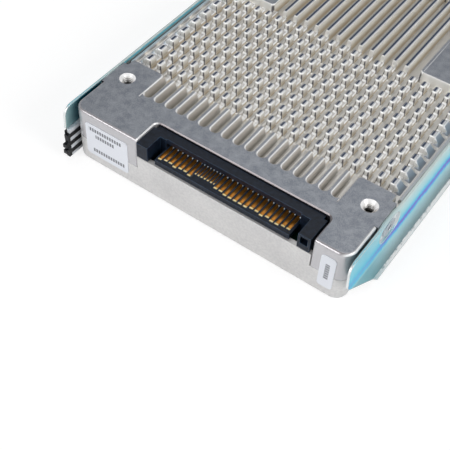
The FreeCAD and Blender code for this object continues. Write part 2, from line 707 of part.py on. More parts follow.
def contact_places(row):
    """Each contact's number, middle, half width and the depth of its tip."""
    start, pitch, count, width, long_ones = CONTACT_ROWS[row]
    for number in range(count):
        middle = "(%s + %d * %s)" % (start, number, pitch)
        tip = "contact_tip" if number in long_ones else "(contact_tip + contact_step)"
        if row == "second_port_contacts":
            tip = "fine_tip"
        yield number, middle, "%s / 2" % width, deep("tongue_front + " + tip)


def make_contacts(row):
    """Flat contacts in their grooves, each with a leg down to the board behind."""
    items = []
    for number, middle, half_width, tip in contact_places(row):
        span = ("%s - %s" % (middle, half_width), "%s + %s" % (middle, half_width))
        leg = (deep("leg_depth"), deep("leg_depth + leg_thickness"))
        items.append(block("%s_flat_%d" % (row, number), span, (tip, leg[1]),
                           ("groove_floor", "groove_floor + contact_height")))
        items.append(block("%s_leg_%d" % (row, number), span, leg,
                           ("board_top", "groove_floor + contact_height")))
    return fused(row, items)


def lock_places():
    """The sides of the two pins that hold the plug, one under each ear."""
    return ("plug_left + ear_width / 2", "plug_right - ear_width / 2")


def plug_solids():
    """The plug's back wall, tongue, key and two stepped guide ears."""
    tongue = ("connector_offset - tongue_left", "connector_offset + tongue_right")
    back = deep("plug_depth")
    solids = [
        block("plug_back_wall", ("plug_left", "plug_right"), (deep("(plug_depth - plug_back)"), back),
              ("board_top", "plug_height")),
        block("plug_tongue", tongue, (deep("tongue_front"), back),
              ("tongue_top - tongue_thickness", "tongue_top")),
        block("plug_key", (less("key_left"), "key_right"), (deep("(tongue_front + key_inset)"), back),
              ("front_rise", "tongue_top - key_drop")),
    ]
    for name, low, high in (("left", "plug_left", "plug_left + ear_width"),
                            ("right", "plug_right - ear_width", "plug_right")):
        solids.append(block("plug_ear_upper_" + name, (low, high), (deep("0"), back),
                            ("ear_foot", "plug_height")))
        solids.append(block("plug_ear_lower_" + name, (low, high), (deep("ear_step"), back),
                            ("board_top", "plug_height")))
    return fused("plug_solids", solids)


def plug_hollows():
    """The recesses over the contacts and in the right ear, the corners and the pins' holes."""
    past = "0.1"
    tools = [block("plug_ear_recess",
                   ("plug_right - recess_side - recess_width", "plug_right - recess_side"),
                   (deep("0 - " + past), deep("recess_depth")), ("recess_foot", "recess_top")),
             block("plug_hood", ("connector_offset - tongue_left", "connector_offset + tongue_right"),
                   (deep("(plug_depth - plug_back - %s)" % past), deep("hood_depth")),
                   ("tongue_top", "hood_top"))]
    for name, low, high in (("left", "plug_left - " + past, "plug_left + plug_corner"),
                            ("right", "plug_right - plug_corner", "plug_right + " + past)):
        tools.append(block("plug_corner_" + name, (low, high),
                           (deep("(plug_depth - plug_corner)"), deep("plug_depth + " + past)),
                           ("board_top - " + past, "plug_height + " + past)))
    for number, across in enumerate(lock_places()):
        tools.append(rod("plug_lock_hole_%d" % number, "z", "board_top - " + past, "board_top + lock_rise",
                         (across, deep("lock_depth")), "lock_radius + 0.02"))
    return tools


def plug_grooves(row):
    """A groove and a shaft for the leg of each contact in a row."""
    tools = []
    end = deep("plug_depth + 0.1")
    for number, middle, half_width, tip in contact_places(row):
        reach = "(%s + groove_side)" % half_width
        span = ("%s - %s" % (middle, reach), "%s + %s" % (middle, reach))
        tools.append(block("%s_groove_%d" % (row, number), span, (tip + " - groove_side", end),
                           ("groove_floor", "tongue_top")))
        tools.append(block("%s_shaft_%d" % (row, number), span, (deep("leg_depth - groove_side"), end),
                           ("board_top - 0.1", "tongue_top")))
    return tools


def make_connector_housing():
    """The plug's body: two guide ears, and a tongue with a groove for each contact."""
    tools = plug_hollows()
    for row in CONTACT_ROWS:
        tools.extend(plug_grooves(row))
    return cut("connector_housing", plug_solids(), tools)


def make_board_locks():
    """The metal pins that fix the plug to the board."""
    items = []
    for number, across in enumerate(lock_places()):
        items.append(rod("board_lock_%d" % number, "z", "board_under - lock_proud", "board_top + lock_rise",
                         (across, deep("lock_depth")), "lock_radius"))
    return gathered("board_locks", items)


def make_label(name, low, high):
    """A sticker with rounded corners on the connector end, between two sides."""
    body = new_body(name)
    foot, top = name + "_foot", name + "_top"
    extrude(body, "Pad", "XZ_Plane", "rear - label_thickness", "rear", rectangle(low, high, foot, top))

    def corner(point):
        at_side = near(point.x, low) or near(point.x, high)
        return at_side and (near(point.z, foot) or near(point.z, top))

    softened(body, "Fillet", "label_corner", corner)
    return body


def rail_line(inset):
    """One face of the rail's section: it leans out downwards and ends in a curled lip."""
    return [("rail_top_half - %s" % inset, "bezel_top"),
            ("rail_crease_half - %s" % inset, "rail_crease_height"),
            ("rail_foot_half - %s" % inset, "rail_foot_height"),
            ("rail_lip_half - %s" % inset, "rail_lip_height - %s * 0.5" % inset)]


def fix_places():
    """Depths of the three screws that hold each rail: two in the drive, one in the front."""
    return HOLE_DEPTHS + ("bezel_rear + fix_depth",)


def press_dimples(body, side):
    """A long cup round each screw, pressed in as far as the drive's side."""
    cups = Drawing()
    hollows = Drawing()
    holes = Drawing()
    for place in fix_places():
        for drawing, wall in ((cups, "0"), (hollows, "dimple_wall")):
            length = "(dimple_length - 2 * %s)" % wall
            height = "(dimple_height - 2 * %s)" % wall
            drawing.slot(*about(place, length), *about("side_hole_z", height), "u")
        holes.disc((place, "side_hole_z"), "screw_shank + 0.1")
    floor = "(half + dimple_gap)"
    extrude(body, "Pad", "YZ_Plane", *spanned(side, floor, "rail_top_half - 0.1"), cups)
    extrude(body, "Pocket", "YZ_Plane", *spanned(side, floor + " + dimple_floor", "rail_crease_half + 0.3"),
            hollows)
    extrude(body, "Pocket", "YZ_Plane", *spanned(side, floor + " - 0.1", "rail_crease_half"), holes)


def cut_nose(body, side, back):
    """The slant at the foot of the rail's nose."""
    foot = "rear - 1 + nose_length"
    nose = polygon((back + " - 1", "0 - 1"), (foot, "0 - 1"), (foot, "0"),
                   (back + " + nose_run", "nose_height"), (back, "nose_height + nose_rise"),
                   (back + " - 1", "nose_height + nose_rise"))
    extrude(body, "Pocket", "YZ_Plane", *spanned(side, "half - 1", "rail_lip_half + 1"), nose)


def cut_left_openings(body, back):
    """The left rail's openings for the contact block and for the ribbon's tail."""
    wall = spanned(-1, "half - 1", "rail_lip_half + 1")
    window = rectangle(back + " - 2", "rear - block_reach + block_length + 0.3", "0 - 1", "block_window")
    extrude(body, "Pocket", "YZ_Plane", *wall, window)
    extrude(body, "Pocket", "YZ_Plane", *wall, tail_opening())


def tail_opening():
    """The opening that the ribbon passes through beside the front."""
    return rectangle("bezel_rear + tail_start", "bezel_rear + tail_end", "tail_foot", "tail_top")


def make_rail(side):
    """One side rail: a leaning sheet with three screw dimples and a cut-back nose."""
    body = new_body("right_rail" if side > 0 else "left_rail")
    section = rail_line("0") + list(reversed(rail_line("rail_thickness")))
    back = "rear - rail_nose"
    extrude(body, "Pad", "XZ_Plane", back, "bezel_front - rail_front_gap",
            polygon(*((u if side > 0 else less(u), v) for u, v in section)))
    press_dimples(body, side)
    cut_nose(body, side, back)
    if side < 0:
        cut_left_openings(body, back)

    def nose_corner(point):
        return near(point.y, back) and near(point.z, "bezel_top")

    softened(body, "Fillet", "nose_radius", nose_corner)
    return body


def make_rail_screws(name, places, tip):
    """A low-headed screw on either side at each of the places."""
    items = []
    for side in SIDES:
        for number, place in enumerate(places):
            items.append(rail_screw("%s_%s_%d" % (name, "right" if side > 0 else "left", number),
                                    side, place, tip))
    return gathered(name, items)


def rail_screw(name, side, place, tip):
    """A screw with a round head, a six-sided socket and a plain shank."""
    seat = "(half + dimple_gap + dimple_floor)"
    across = (place, "side_hole_z")
    top = seat + " + screw_head_depth"
    head = rod(name + "_head", "x", *spanned(side, seat, top), across, "screw_head")
    shank = rod(name + "_shank", "x", *spanned(side, tip, top), across, "screw_shank")
    socket = doc.addObject("Part::Prism", name + "_socket")
    socket.Polygon = 6
    socket.Placement = FreeCAD.Placement(FreeCAD.Vector(), TURNS["x"])
    socket.setExpression("Circumradius", bound("socket_radius"))
    socket.setExpression("Height", bound("screw_head_depth"))
    floor = seat + " + screw_head_depth - socket_depth"
    low = spanned(side, floor, floor + " + screw_head_depth")[0]
    for axis, middle in zip("xyz", (low, place, "side_hole_z")):
        socket.setExpression("Placement.Base." + axis, bound(middle))
    return cut(name, fused(name + "_solid", [head, shank]), [socket])


BLOCK_START = "(rear - block_reach)"
BLOCK_END = "(rear - block_reach + block_length)"


def fin_foot(number):
    return "(block_foot + fin_foot + %d * block_pitch)" % number


def make_contact_block():
    """A small comb of insulating fins at the end of the left rail."""
    inner, outer, root = "-block_inner", "-block_outer", "-(block_inner + block_core)"
    front = BLOCK_START + " + block_tooth"
    solids = [block("block_core", (outer, root), (front + " + 0.2", BLOCK_END),
                    ("block_foot", "block_foot + core_height"))]
    for number in range(3):
        solids.append(block("block_fin_%d" % number, (outer, inner), (front, BLOCK_END + " - fin_end_gap"),
                            (fin_foot(number), fin_foot(number) + " + fin_thickness")))
    for number in range(2):
        foot = "block_foot + tooth_foot + %d * tooth_pitch" % number
        solids.append(block("block_tooth_%d" % number, (root, inner), (front, front + " + tooth_length"),
                            (foot, foot + " + tooth_height")))
        nub = foot + " + %d * nub_rise" % (1 - number)
        solids.append(block("block_nub_%d" % number, (root, inner), (BLOCK_START, front + " + 0.1"),
                            (nub, nub + " + nub_height")))
    return fused("contact_block", solids)


def make_contact_strips():
    """Metal strips between the fins, seated on the block's core."""
    items = []
    for number in range(4):
        low = fin_foot(number - 1) + " + fin_thickness" if number > 0 else "block_foot"
        high = fin_foot(number) if number < 3 else "block_foot + core_height"
        items.append(block("contact_strip_%d" % number,
                           ("-(block_inner + block_core)", "-(block_inner + strip_recess)"),
                           (BLOCK_START + " + block_tooth + tooth_length", BLOCK_END + " - strip_end_gap"),
                           (low, high)))
    return gathered("contact_strips", items)


def rail_inside(height, gap):
    """The left rail's inner face at a height below its crease, and a gap in from it."""
    lean = "((rail_foot_half - rail_crease_half) / (rail_crease_height - rail_foot_height))"
    return "-(rail_crease_half - rail_thickness - flex_gap - %s + %s * (rail_crease_height - %s))" % (
        gap, lean, height)


def make_flex_circuit():
    """A flat ribbon inside the left rail, from the contact block to the front's board."""
    body = new_body("flex_circuit")
    corners = (("flex_top", "0"), ("flex_foot", "0"), ("flex_foot", "flex_thickness"),
               ("flex_top", "flex_thickness"))
    ribbon = polygon(*((rail_inside(height, gap), height) for height, gap in corners))
    extrude(body, "Pad", "XZ_Plane", BLOCK_END, "bezel_rear + flex_end", ribbon)
    extrude(body, "Pad", "XY_Plane", "lamp_board_top", "lamp_board_top + flex_thickness",
            rectangle(rail_inside("lamp_board_top", "0.05"), "0 - 31", "bezel_rear + flex_fold",
                      "bezel_rear + flex_end"))
    return body


def make_front_bezel():
    """The carrier's front: a hollow box behind a slotted face, with hinge ears."""
    body = new_body("front_bezel")
    extrude(body, "Pad", "XZ_Plane", "bezel_rear", "bezel_front",
            rectangle(less("bezel_half"), "bezel_half", "bezel_foot", "bezel_top"))
    extrude(body, "Pocket", "XZ_Plane", "bezel_rear - 1", "bezel_front - front_wall",
            rectangle("bezel_wall - bezel_half", "bezel_half - bezel_wall",
                      "bezel_foot + bezel_wall", "bezel_top - bezel_wall"))
    extrude(body, "Pad", "XZ_Plane", "bezel_front", "flange_front",
            rectangle(less("flange_half"), "flange_half", "0", "flange_height"))
    add_bezel_mounts(body)
    cut_bezel_face(body)
    cut_bezel_sides(body)
    return body


def add_bezel_mounts(body):
    """The lever's hinge ears, the rails' spacers and the seat of the button's spring."""
    for low, high in (("0", "hinge_thickness"), ("flange_height - hinge_thickness", "flange_height")):
        extrude(body, "Pad", "XY_Plane", low, high,
                rectangle(less("hinge_start"), less("hinge_end"), "flange_front", "pivot_y + hinge_reach"))
    spacers = Drawing()
    for side in SIDES:
        low, high = spanned(side, "bezel_half - bezel_wall - spacer_reach", "bezel_half - bezel_wall + 0.1")
        spacers.rectangle(low, high, "side_hole_z - spacer_drop", "bezel_top - bezel_wall + 0.1")
    extrude(body, "Pad", "XZ_Plane", "bezel_rear + fix_depth - spacer_half",
            "bezel_rear + fix_depth + spacer_half", spacers)
    seat = "flange_front - button_rear - spring_space"
    extrude(body, "Pad", "XZ_Plane", seat + " - spring_seat", seat,
            rectangle("button_left + 0.3", "button_right - 0.2", "seat_foot", "seat_top"))


def cut_bezel_face(body):
    """The vents, the button's way and the light pipes' holes, through the front wall."""
    face = Drawing()
    for number in range(11):
        low, high = about("(%d - 5.5) * vent_pitch" % number, "vent_width")
        face.rectangle(low, high, *about("flange_height / 2", "vent_height"))
    face.rectangle("button_left - running_gap", "button_right + running_gap",
                   "button_foot - running_gap", "button_foot + button_height + running_gap")
    for height in ("pipe_low", "pipe_high"):
        face.disc(("pipe_side", height), "pipe_radius + 0.02")
    extrude(body, "Pocket", "XZ_Plane", "bezel_front - front_wall - 0.1", "flange_front + 0.1", face)


def cut_bezel_sides(body):
    """The hinge pin's bore, the slots of the cam and the catch, and the side openings."""
    extrude(body, "Pocket", "XY_Plane", "0 - 0.1", "flange_height + 0.1",
            disc((less("pivot_side"), "pivot_y"), "pin_radius + 0.02"))
    extrude(body, "Pocket", "XY_Plane", "lever_foot - running_gap",
            "lever_foot + lever_height + running_gap",
            rectangle("-(flange_half + 0.1)", less("cam_slot"), "flange_front - cam_slot_depth",
                      "flange_front + 0.1"))
    extrude(body, "Pocket", "XY_Plane", "lever_foot + catch_slot", "lever_foot + lever_height - catch_slot",
            rectangle("catch_face - 0.02", "catch_face + catch_thickness + 0.02",
                      "flange_front - catch_root", "flange_front + 0.1"))
    holes = disc(("bezel_rear + fix_depth", "side_hole_z"), "screw_shank + 0.05")
    extrude(body, "Pocket", "YZ_Plane", "-(bezel_half + 0.1)", "bezel_half + 0.1", holes)
    extrude(body, "Pocket", "YZ_Plane", "-(bezel_half + 0.1)", "-(bezel_half - bezel_wall - 0.1)",
            tail_opening())


PIVOT = (less("pivot_side"), "pivot_y")
LEVER_TOP = "(lever_foot + lever_height)"
ARM_FRONT = "lever_back + lever_thickness"


def make_ejector_lever():
    """The lever across the front: a slotted arm, a hinge barrel and an ejecting cam."""
    body = new_body("ejector_lever")
    arm = polygon((less("pivot_side"), "lever_back"), ("lever_end", "lever_back"),
                  ("lever_end", "lever_back + grip_thickness"), ("lever_end - grip_length", ARM_FRONT),
                  (less("pivot_side"), ARM_FRONT))
    extrude(body, "Pad", "XY_Plane", "lever_foot", LEVER_TOP, arm)
    extrude(body, "Pad", "XY_Plane", "lever_foot", LEVER_TOP, disc(PIVOT, "barrel_radius"))
    cam = rectangle("-(pivot_side + cam_reach)", less("pivot_side"), *about("pivot_y", "cam_thickness"))
    extrude(body, "Pad", "XY_Plane", "lever_foot", LEVER_TOP + " - coil_space", cam)
    cut_lever(body)
    return body


def cut_lever(body):
    """The pin's bore, the spring's cup and the vents through the arm."""
    extrude(body, "Pocket", "XY_Plane", "lever_foot - 0.1", LEVER_TOP + " + 0.1",
            disc(PIVOT, "pin_radius + pin_fit"))
    extrude(body, "Pocket", "XY_Plane", LEVER_TOP + " - coil_space", LEVER_TOP + " + 0.1",
            disc(PIVOT, "coil_radius + coil_play"))
    vents = Drawing()
    for number in range(9):
        low, high = about("(%d - 4.5) * vent_pitch" % number, "vent_width")
        vents.rectangle(low, high, "lever_foot + vent_margin", LEVER_TOP + " - vent_margin")
    extrude(body, "Pocket", "XZ_Plane", "lever_back - 0.1", ARM_FRONT + " + 0.1", vents)


def make_lever_pin():
    """The pin that the lever turns on."""
    return rod("lever_pin", "z", "0.3", "flange_height - 0.3", PIVOT, "pin_radius")


STEPS_OF_TURN = 12


def coil_path(name, height, radius):
    """A helix drawn with straight steps, and the number of its steps."""
    steps = int(round(STEPS_OF_TURN * size(height) / size("coil_pitch")))
    path = doc.addObject("Part::Polygon", name + "_path")
    corners = []
    for step in range(steps + 1):
        angle = 2 * math.pi * step / STEPS_OF_TURN
        corners.append(FreeCAD.Vector(size(radius) * math.cos(angle), size(radius) * math.sin(angle),
                                      size(height) * step / steps))
    path.Nodes = corners
    path.Close = False
    return path, steps


def coil(name, height, radius, turned, place):
    """A spring: an eight-sided wire swept along a helix and set at a place."""
    path, steps = coil_path(name, height, radius)
    wire = doc.addObject("Part::RegularPolygon", name + "_wire")
    wire.Polygon = 8
    wire.setExpression("Circumradius", bound("wire / 2"))
    wire.Placement = FreeCAD.Placement(FreeCAD.Vector(), FreeCAD.Rotation(FreeCAD.Vector(1, 0, 0), 90))
    wire.setExpression("Placement.Base.x", bound(radius))
    doc.recompute()
    sweep = doc.addObject("Part::Sweep", name)
    sweep.Sections = [wire]
    sweep.Spine = (path, ["Edge%d" % number for number in range(1, steps + 1)])
    sweep.Solid = True
    sweep.Frenet = False
    sweep.Transition = "Right corner"
    sweep.Placement = FreeCAD.Placement(FreeCAD.Vector(), turned)
    for axis, expression in zip("xyz", place):
        sweep.setExpression("Placement.Base." + axis, bound(expression))
    return sweep


def make_lever_spring():
    return coil("lever_spring", "coil_space - wire - 3.5 * coil_gap", "coil_radius", TURNS["z"],
                PIVOT + (LEVER_TOP + " - coil_space + wire / 2 + coil_gap",))


def make_release_button():
    """The button that frees the lever, with a collar behind the front wall."""
    body = new_body("release_button")
    top = "button_foot + button_height"
    extrude(body, "Pad", "XZ_Plane", "flange_front - button_rear", "flange_front + button_proud",
            rectangle("button_left", "button_right", "button_foot", top))
    collar = rectangle("button_left - collar_width", "button_right + collar_width - 0.1",
                       "button_foot - collar_width", top + " + collar_width")
    stop = "bezel_front - front_wall - running_gap"
    extrude(body, "Pad", "XZ_Plane", stop + " - collar_depth", stop, collar)
    return body


def make_button_spring():
    start = "flange_front - button_rear - spring_space + wire / 2 + coil_gap"
    return coil("button_spring", "spring_space - wire - 2 * coil_gap", "spring_radius - wire / 2",
                TURNS["y"], ("button_middle", start, "button_foot + 2.6"))


def make_latch_spring():
    """A leaf that hooks round the lever's free end."""
    body = new_body("latch_spring")
    face, back, tip = "catch_face", "catch_face + catch_thickness", "catch_face - catch_hook"
    root = "flange_front - catch_root + 0.02"
    hook = "lever_back + grip_thickness + running_gap"
    leaf = polygon((face, root), (back, root), (back, hook + " + catch_thickness"),
                   (tip, hook + " + catch_thickness"), (tip, hook), (face, hook))
    extrude(body, "Pad", "XY_Plane", "lever_foot + catch_inset", LEVER_TOP + " - catch_inset", leaf)
    return body


def make_light_pipes():
    items = []
    for name, height in (("low", "pipe_low"), ("high", "pipe_high")):
        items.append(rod("light_pipe_" + name, "y", "bezel_rear + pipe_start", "flange_front + 0.2",
                         ("pipe_side", height), "pipe_radius"))
    return gathered("light_pipes", items)


def make_indicator_board():
    """A small board in the front that carries the two lamps behind the pipes."""
    body = new_body("indicator_board")
    extrude(body, "Pad", "XY_Plane", "lamp_board_top - lamp_board_thickness", "lamp_board_top",
            rectangle("bezel_wall - bezel_half + 0.1", "lamp_board_end",
                      "bezel_rear + 1", "bezel_rear + lamp_board_depth"))
    extrude(body, "Pad", "XZ_Plane", "bezel_rear + lamp_wall", "bezel_rear + pipe_start",
            rectangle("pipe_side - lamp_half", "pipe_side + lamp_half", "lamp_foot", "lamp_top"))
    return body


def make_everything():
    parts = {"base_casting": make_base_casting(), "bottom_cover": make_bottom_cover(),
             "main_board": make_main_board(), "flash_board": make_flash_board(),
             "board_link": make_board_link(), "connector_housing": make_connector_housing()}
    for row in CONTACT_ROWS:
        parts[row] = make_contacts(row)
    parts["board_locks"] = make_board_locks()
    parts.update(make_chips())
    parts["board_screws"] = make_board_screws()
    parts["cover_screws"] = make_cover_screws()
    parts["left_label"] = make_label("left_label", less("left_label_start"), less("left_label_end"))
    parts["right_label"] = make_label("right_label", "right_label_start", "right_label_end")
    parts["left_rail"] = make_rail(-1)
    parts["right_rail"] = make_rail(1)
    parts["side_screws"] = make_rail_screws("side_screws", fix_places()[:2], "half - side_hole_depth + 0.3")
    parts["contact_block"] = make_contact_block()
    parts["contact_strips"] = make_contact_strips()
    parts["flex_circuit"] = make_flex_circuit()
    parts["front_bezel"] = make_front_bezel()
    parts["ejector_lever"] = make_ejector_lever()
    parts["lever_pin"] = make_lever_pin()
    parts["lever_spring"] = make_lever_spring()
    parts["release_button"] = make_release_button()
    parts["button_spring"] = make_button_spring()
    parts["latch_spring"] = make_latch_spring()
    parts["light_pipes"] = make_light_pipes()
    parts["indicator_board"] = make_indicator_board()
    parts["bezel_screws"] = make_rail_screws("bezel_screws", fix_places()[2:], "bezel_half - bezel_wall - 1")
    return parts


def check_document():
    """Stop if any object failed, before anything is written."""
    doc.recompute()
    for item in doc.Objects:
        if "Invalid" in item.State or "Error" in item.State:
            raise RuntimeError("%s is in error" % item.Name)


def write_parts(parts):
    for name, item in parts.items():
        shape = item.Shape
        if shape.isNull() or not shape.isValid() or not shape.Solids:
            raise RuntimeError("%s has no sound shape" % name)
        item.Label = name
        shape.exportStep("parts/%s.step" % name)
        box = shape.BoundBox
        print("%-22s solids %3d  faces %4d  volume %9.1f  x %7.2f %7.2f  y %7.2f %7.2f  z %6.2f %6.2f" % (
            name, len(shape.Solids), len(shape.Faces), shape.Volume, box.XMin, box.XMax, box.YMin, box.YMax,
            box.ZMin, box.ZMax))


finished = make_everything()
check_document()
write_parts(finished)
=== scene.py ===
# %% [markdown]
# # A solid state drive in its carrier
# This lesson dresses a finished CAD model of a 2.5 inch drive. The CAD parts arrive with the
# right sizes and stay where they are. Blender adds what makes them look real: soft cast
# edges, plated sheet metal, gold contacts and studio light.

# %% Load the CAD model
import bmesh
import bpy
import math
import numpy as np
from mathutils import Matrix, Vector


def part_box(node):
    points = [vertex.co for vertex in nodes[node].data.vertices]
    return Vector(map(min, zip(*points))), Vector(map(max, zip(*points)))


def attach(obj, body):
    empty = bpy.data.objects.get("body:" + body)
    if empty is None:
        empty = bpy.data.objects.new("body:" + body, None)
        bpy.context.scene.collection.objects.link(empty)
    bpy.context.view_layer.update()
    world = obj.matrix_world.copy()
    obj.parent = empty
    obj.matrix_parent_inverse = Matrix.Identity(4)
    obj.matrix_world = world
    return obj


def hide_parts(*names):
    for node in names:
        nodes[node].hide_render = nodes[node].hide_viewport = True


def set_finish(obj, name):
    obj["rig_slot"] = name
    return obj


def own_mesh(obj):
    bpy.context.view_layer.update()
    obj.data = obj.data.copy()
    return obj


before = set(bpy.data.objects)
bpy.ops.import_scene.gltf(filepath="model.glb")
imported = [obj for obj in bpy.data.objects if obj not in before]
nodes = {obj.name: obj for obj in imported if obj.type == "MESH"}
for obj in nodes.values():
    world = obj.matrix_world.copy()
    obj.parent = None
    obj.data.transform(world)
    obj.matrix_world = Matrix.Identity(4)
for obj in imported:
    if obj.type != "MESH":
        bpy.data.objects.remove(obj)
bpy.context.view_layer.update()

print("loaded", len(nodes), "CAD parts")

# %% [markdown]
# ## Units and reference lines
# The CAD model is in metres. The shapes below are easier to read in millimetres, so one
# small helper turns them into metres. Depths along the drive are counted from its plug end,
# which is the front face of the casting.

# %% Units
MM = 0.001
casting_low, casting_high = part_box("base_casting")
REAR = casting_low[1] / MM
HALF_WIDTH = casting_high[0] / MM
print("the drive's plug end is at y = %.2f mm" % REAR)


def metres(x, depth, z):
    """A point given as side, depth and height in millimetres."""
    return (x * MM, (REAR + depth) * MM, z * MM)


# %% [markdown]
# ## Making an object from points and faces
# Every new piece starts as a list of points and a list of faces. The helper makes the mesh,
# puts it in the scene, lets it ride on a CAD body, and names the finish that it takes.

# %% Piece helper
def add_object(name, data):
    """A new object in the scene."""
    made = bpy.data.objects.new(name, data)
    bpy.context.collection.objects.link(made)
    return made


def make_piece(name, points, faces, slot, body="carrier", smooth=40.0):
    """A new mesh object that rides on a CAD body. Points are in metres."""
    mesh = bpy.data.meshes.new(name)
    mesh.from_pydata(points, [], faces)
    mesh.validate()
    piece = add_object(name, mesh)
    smooth_by_angle(piece, smooth)
    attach(piece, body)
    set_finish(piece, slot)
    return piece


def smooth_by_angle(piece, degrees):
    """Smooth shading that keeps edges sharper than the angle."""
    mesh = piece.data
    mesh.shade_smooth()
    mesh.set_sharp_from_angle(angle=math.radians(degrees))


# %% [markdown]
# Contacts, threads and coils are all rings of points in a row. Two helpers give the faces
# that join the rings, and the two faces that close the ends.

# %% Faces round rings of points
def skin(start, rings, count, closed=False, flipped=False):
    """Faces between rings of points; closed also joins the last ring to the first."""
    faces = []
    for step in range(rings if closed else rings - 1):
        low, high = start + step * count, start + (step + 1) % rings * count
        for place in range(count):
            after = (place + 1) % count
            face = (low + place, high + place, high + after, low + after)
            faces.append((face[0], *face[:0:-1]) if flipped else face)
    return faces


def end_faces(start, rings, count, flipped=False):
    """The faces that close the first and the last ring."""
    first = tuple(range(start, start + count))
    last = tuple(range(start + (rings - 1) * count, start + rings * count))
    return [first[::-1], last] if flipped else [first, last[::-1]]


# %% [markdown]
# ## The finned deck
# The real casting's channels were formed by a die, so every pin has rounded corners, a soft
# top edge, drafted walls and a fillet at its foot. Hundreds of bevelled solids would be slow
# and fragile. Instead the deck is drawn as a height above a plan: for each point of a grid we
# measure how far it is inside or outside a raised shape, and a profile turns that distance
# into a height. The grid lines crowd together where the walls are, so few points are needed.

# %% Sizes of the deck
PITCH, ROW, PIN_ROWS, CHANNEL_HALF = 3.0, 4.315, 8, 1.0
TOP, PIN_TOP, CROSS, CHANNEL, RIM = 15.0, 14.75, 13.0, 12.0, 13.8
SLOT_START, FIELD_START, FIELD_END, FINS_END = 12.0, 19.95, 56.45, 88.0
SLOTTED_HALF, LAND_END, FINS_HALF = 25.05, 20.05, 17.0
FIRST_PIN, PIN_HALF, PIN_LENGTH_HALF = 23.23, 0.56, 1.07
OUTER_PIN, OUTER_PIN_HALF, OUTER_FROM = 31.55, 0.62, 30.6
PAD_INNER, SLOPE_TOP, SLOPE_FOOT, RIM_INNER = 19.9, 32.15, 33.85, 34.35
SIDE_END, NOTCH_SIDE, NOTCH_END = 80.5, 33.72, 20.12
BORDER, RECESS, RECESS_END = 0.65, 0.12, 82.0
SLAB_FOOT, SLAB_START, SLAB_TURN, SLAB_END = 11.2, 11.0, 17.9, 89.2
SLOTS_HALF, ENDS_HALF = 26.5, 21.5
BEYOND = 40.0  # a distance that reaches past the deck
print("the pins stand in", PIN_ROWS, "rows,", ROW, "mm apart")


# %% [markdown]
# The plan's shapes are distance fields: positive inside the raised metal, negative outside.
# Two of them join with a maximum, and a channel is cut with a minimum.

# %% Distance helpers
def box_distance(x, y, middle_x, middle_y, half_x, half_y, corner):
    """Distance into a rectangle with rounded corners; negative outside it."""
    over_x = np.abs(x - middle_x) - (half_x - corner)
    over_y = np.abs(y - middle_y) - (half_y - corner)
    outside = np.hypot(np.maximum(over_x, 0), np.maximum(over_y, 0))
    return corner - outside - np.minimum(np.maximum(over_x, over_y), 0)


def edge_profile(distance, top, floor, bevel=0.2, fillet=0.32, draft=0.10):
    """Height across a cast edge: flat top, rounded edge, drafted wall, filleted foot."""
    wall = top - floor - bevel - fillet
    run = wall * draft
    height = np.full_like(distance, floor)
    on_top = distance >= bevel
    on_edge = (distance >= 0) & (distance < bevel)
    on_wall = (distance < 0) & (distance >= -run)
    on_foot = (distance < -run) & (distance > -run - fillet)
    height[on_top] = top
    turn = (bevel - distance[on_edge]) / bevel
    height[on_edge] = top - bevel * (1 - np.sqrt(np.clip(1 - turn ** 2, 0, 1)))
    height[on_wall] = top - bevel + distance[on_wall] / draft
    turn = np.clip((distance[on_foot] + run + fillet) / fillet, 0, 1)
    height[on_foot] = floor + fillet * (1 - np.sqrt(np.clip(1 - turn ** 2, 0, 1)))
    return height


def nearest_channel(x):
    """Side position relative to the nearest channel's middle."""
    return x - np.round(x / PITCH) * PITCH


def nearest_row(y):
    """Depth of the middle of the nearest row of pins."""
    return FIRST_PIN + np.clip(np.round((y - FIRST_PIN) / ROW), 0, PIN_ROWS - 1) * ROW


# %% [markdown]
# The raised shapes are drawn region by region: the solid plug-end plateau with its slots, the
# field of pins, the long fins, and the two smooth raised fields beside them.

# %% Raised shapes
def channel_distance(x, y, start, end):
    """Distance into the nearest channel, which has half-round ends."""
    middle = np.clip(y, start + CHANNEL_HALF, end - CHANNEL_HALF)
    return CHANNEL_HALF - np.hypot(nearest_channel(x), y - middle)


def front_land(x, y):
    """The plateau at the plug end, with the seventeen slots cut into it."""
    slotted = np.minimum(FIELD_START - y, -channel_distance(x, y, SLOT_START, FIELD_START + BEYOND))
    solid = box_distance(np.abs(x), y, BEYOND, 0.0, BEYOND - SLOTTED_HALF, LAND_END, 1.0)
    return np.where(np.abs(x) < SLOTTED_HALF, np.maximum(slotted, solid), solid)


def pins(x, y):
    """The pins of the nearest column and row."""
    column = (np.floor(x / PITCH) + 0.5) * PITCH
    pin = box_distance(x, y, column, nearest_row(y), PIN_HALF, PIN_LENGTH_HALF, 0.42)
    wide = box_distance(np.abs(x), y, OUTER_PIN, nearest_row(y), OUTER_PIN_HALF, PIN_LENGTH_HALF, 0.3)
    return np.where(np.abs(x) > OUTER_FROM, wide, pin)


def long_fins(x, y):
    """The fins behind the pin field, and the raised fields beside and beyond them."""
    cut = -channel_distance(x, y, BEYOND, FINS_END)
    fins = np.minimum(np.minimum(FINS_HALF - np.abs(x), y - FIELD_END), cut)
    fields = box_distance(np.abs(x), y, PAD_INNER + BEYOND, FIELD_END + BEYOND, BEYOND, BEYOND, 0.9)
    beyond = y - FINS_END + 0.35 * np.cos(np.clip(nearest_channel(x), -1, 1) * math.pi / 2)
    return fins, np.maximum(fields, beyond)


def side_slope(x):
    """Height beside the outer pins: a slope from the deck's top down to the ledge."""
    side = np.abs(x)
    slope = TOP - (side - SLOPE_TOP) * (TOP - CROSS) / (SLOPE_FOOT - SLOPE_TOP)
    return np.clip(slope, CROSS, TOP)


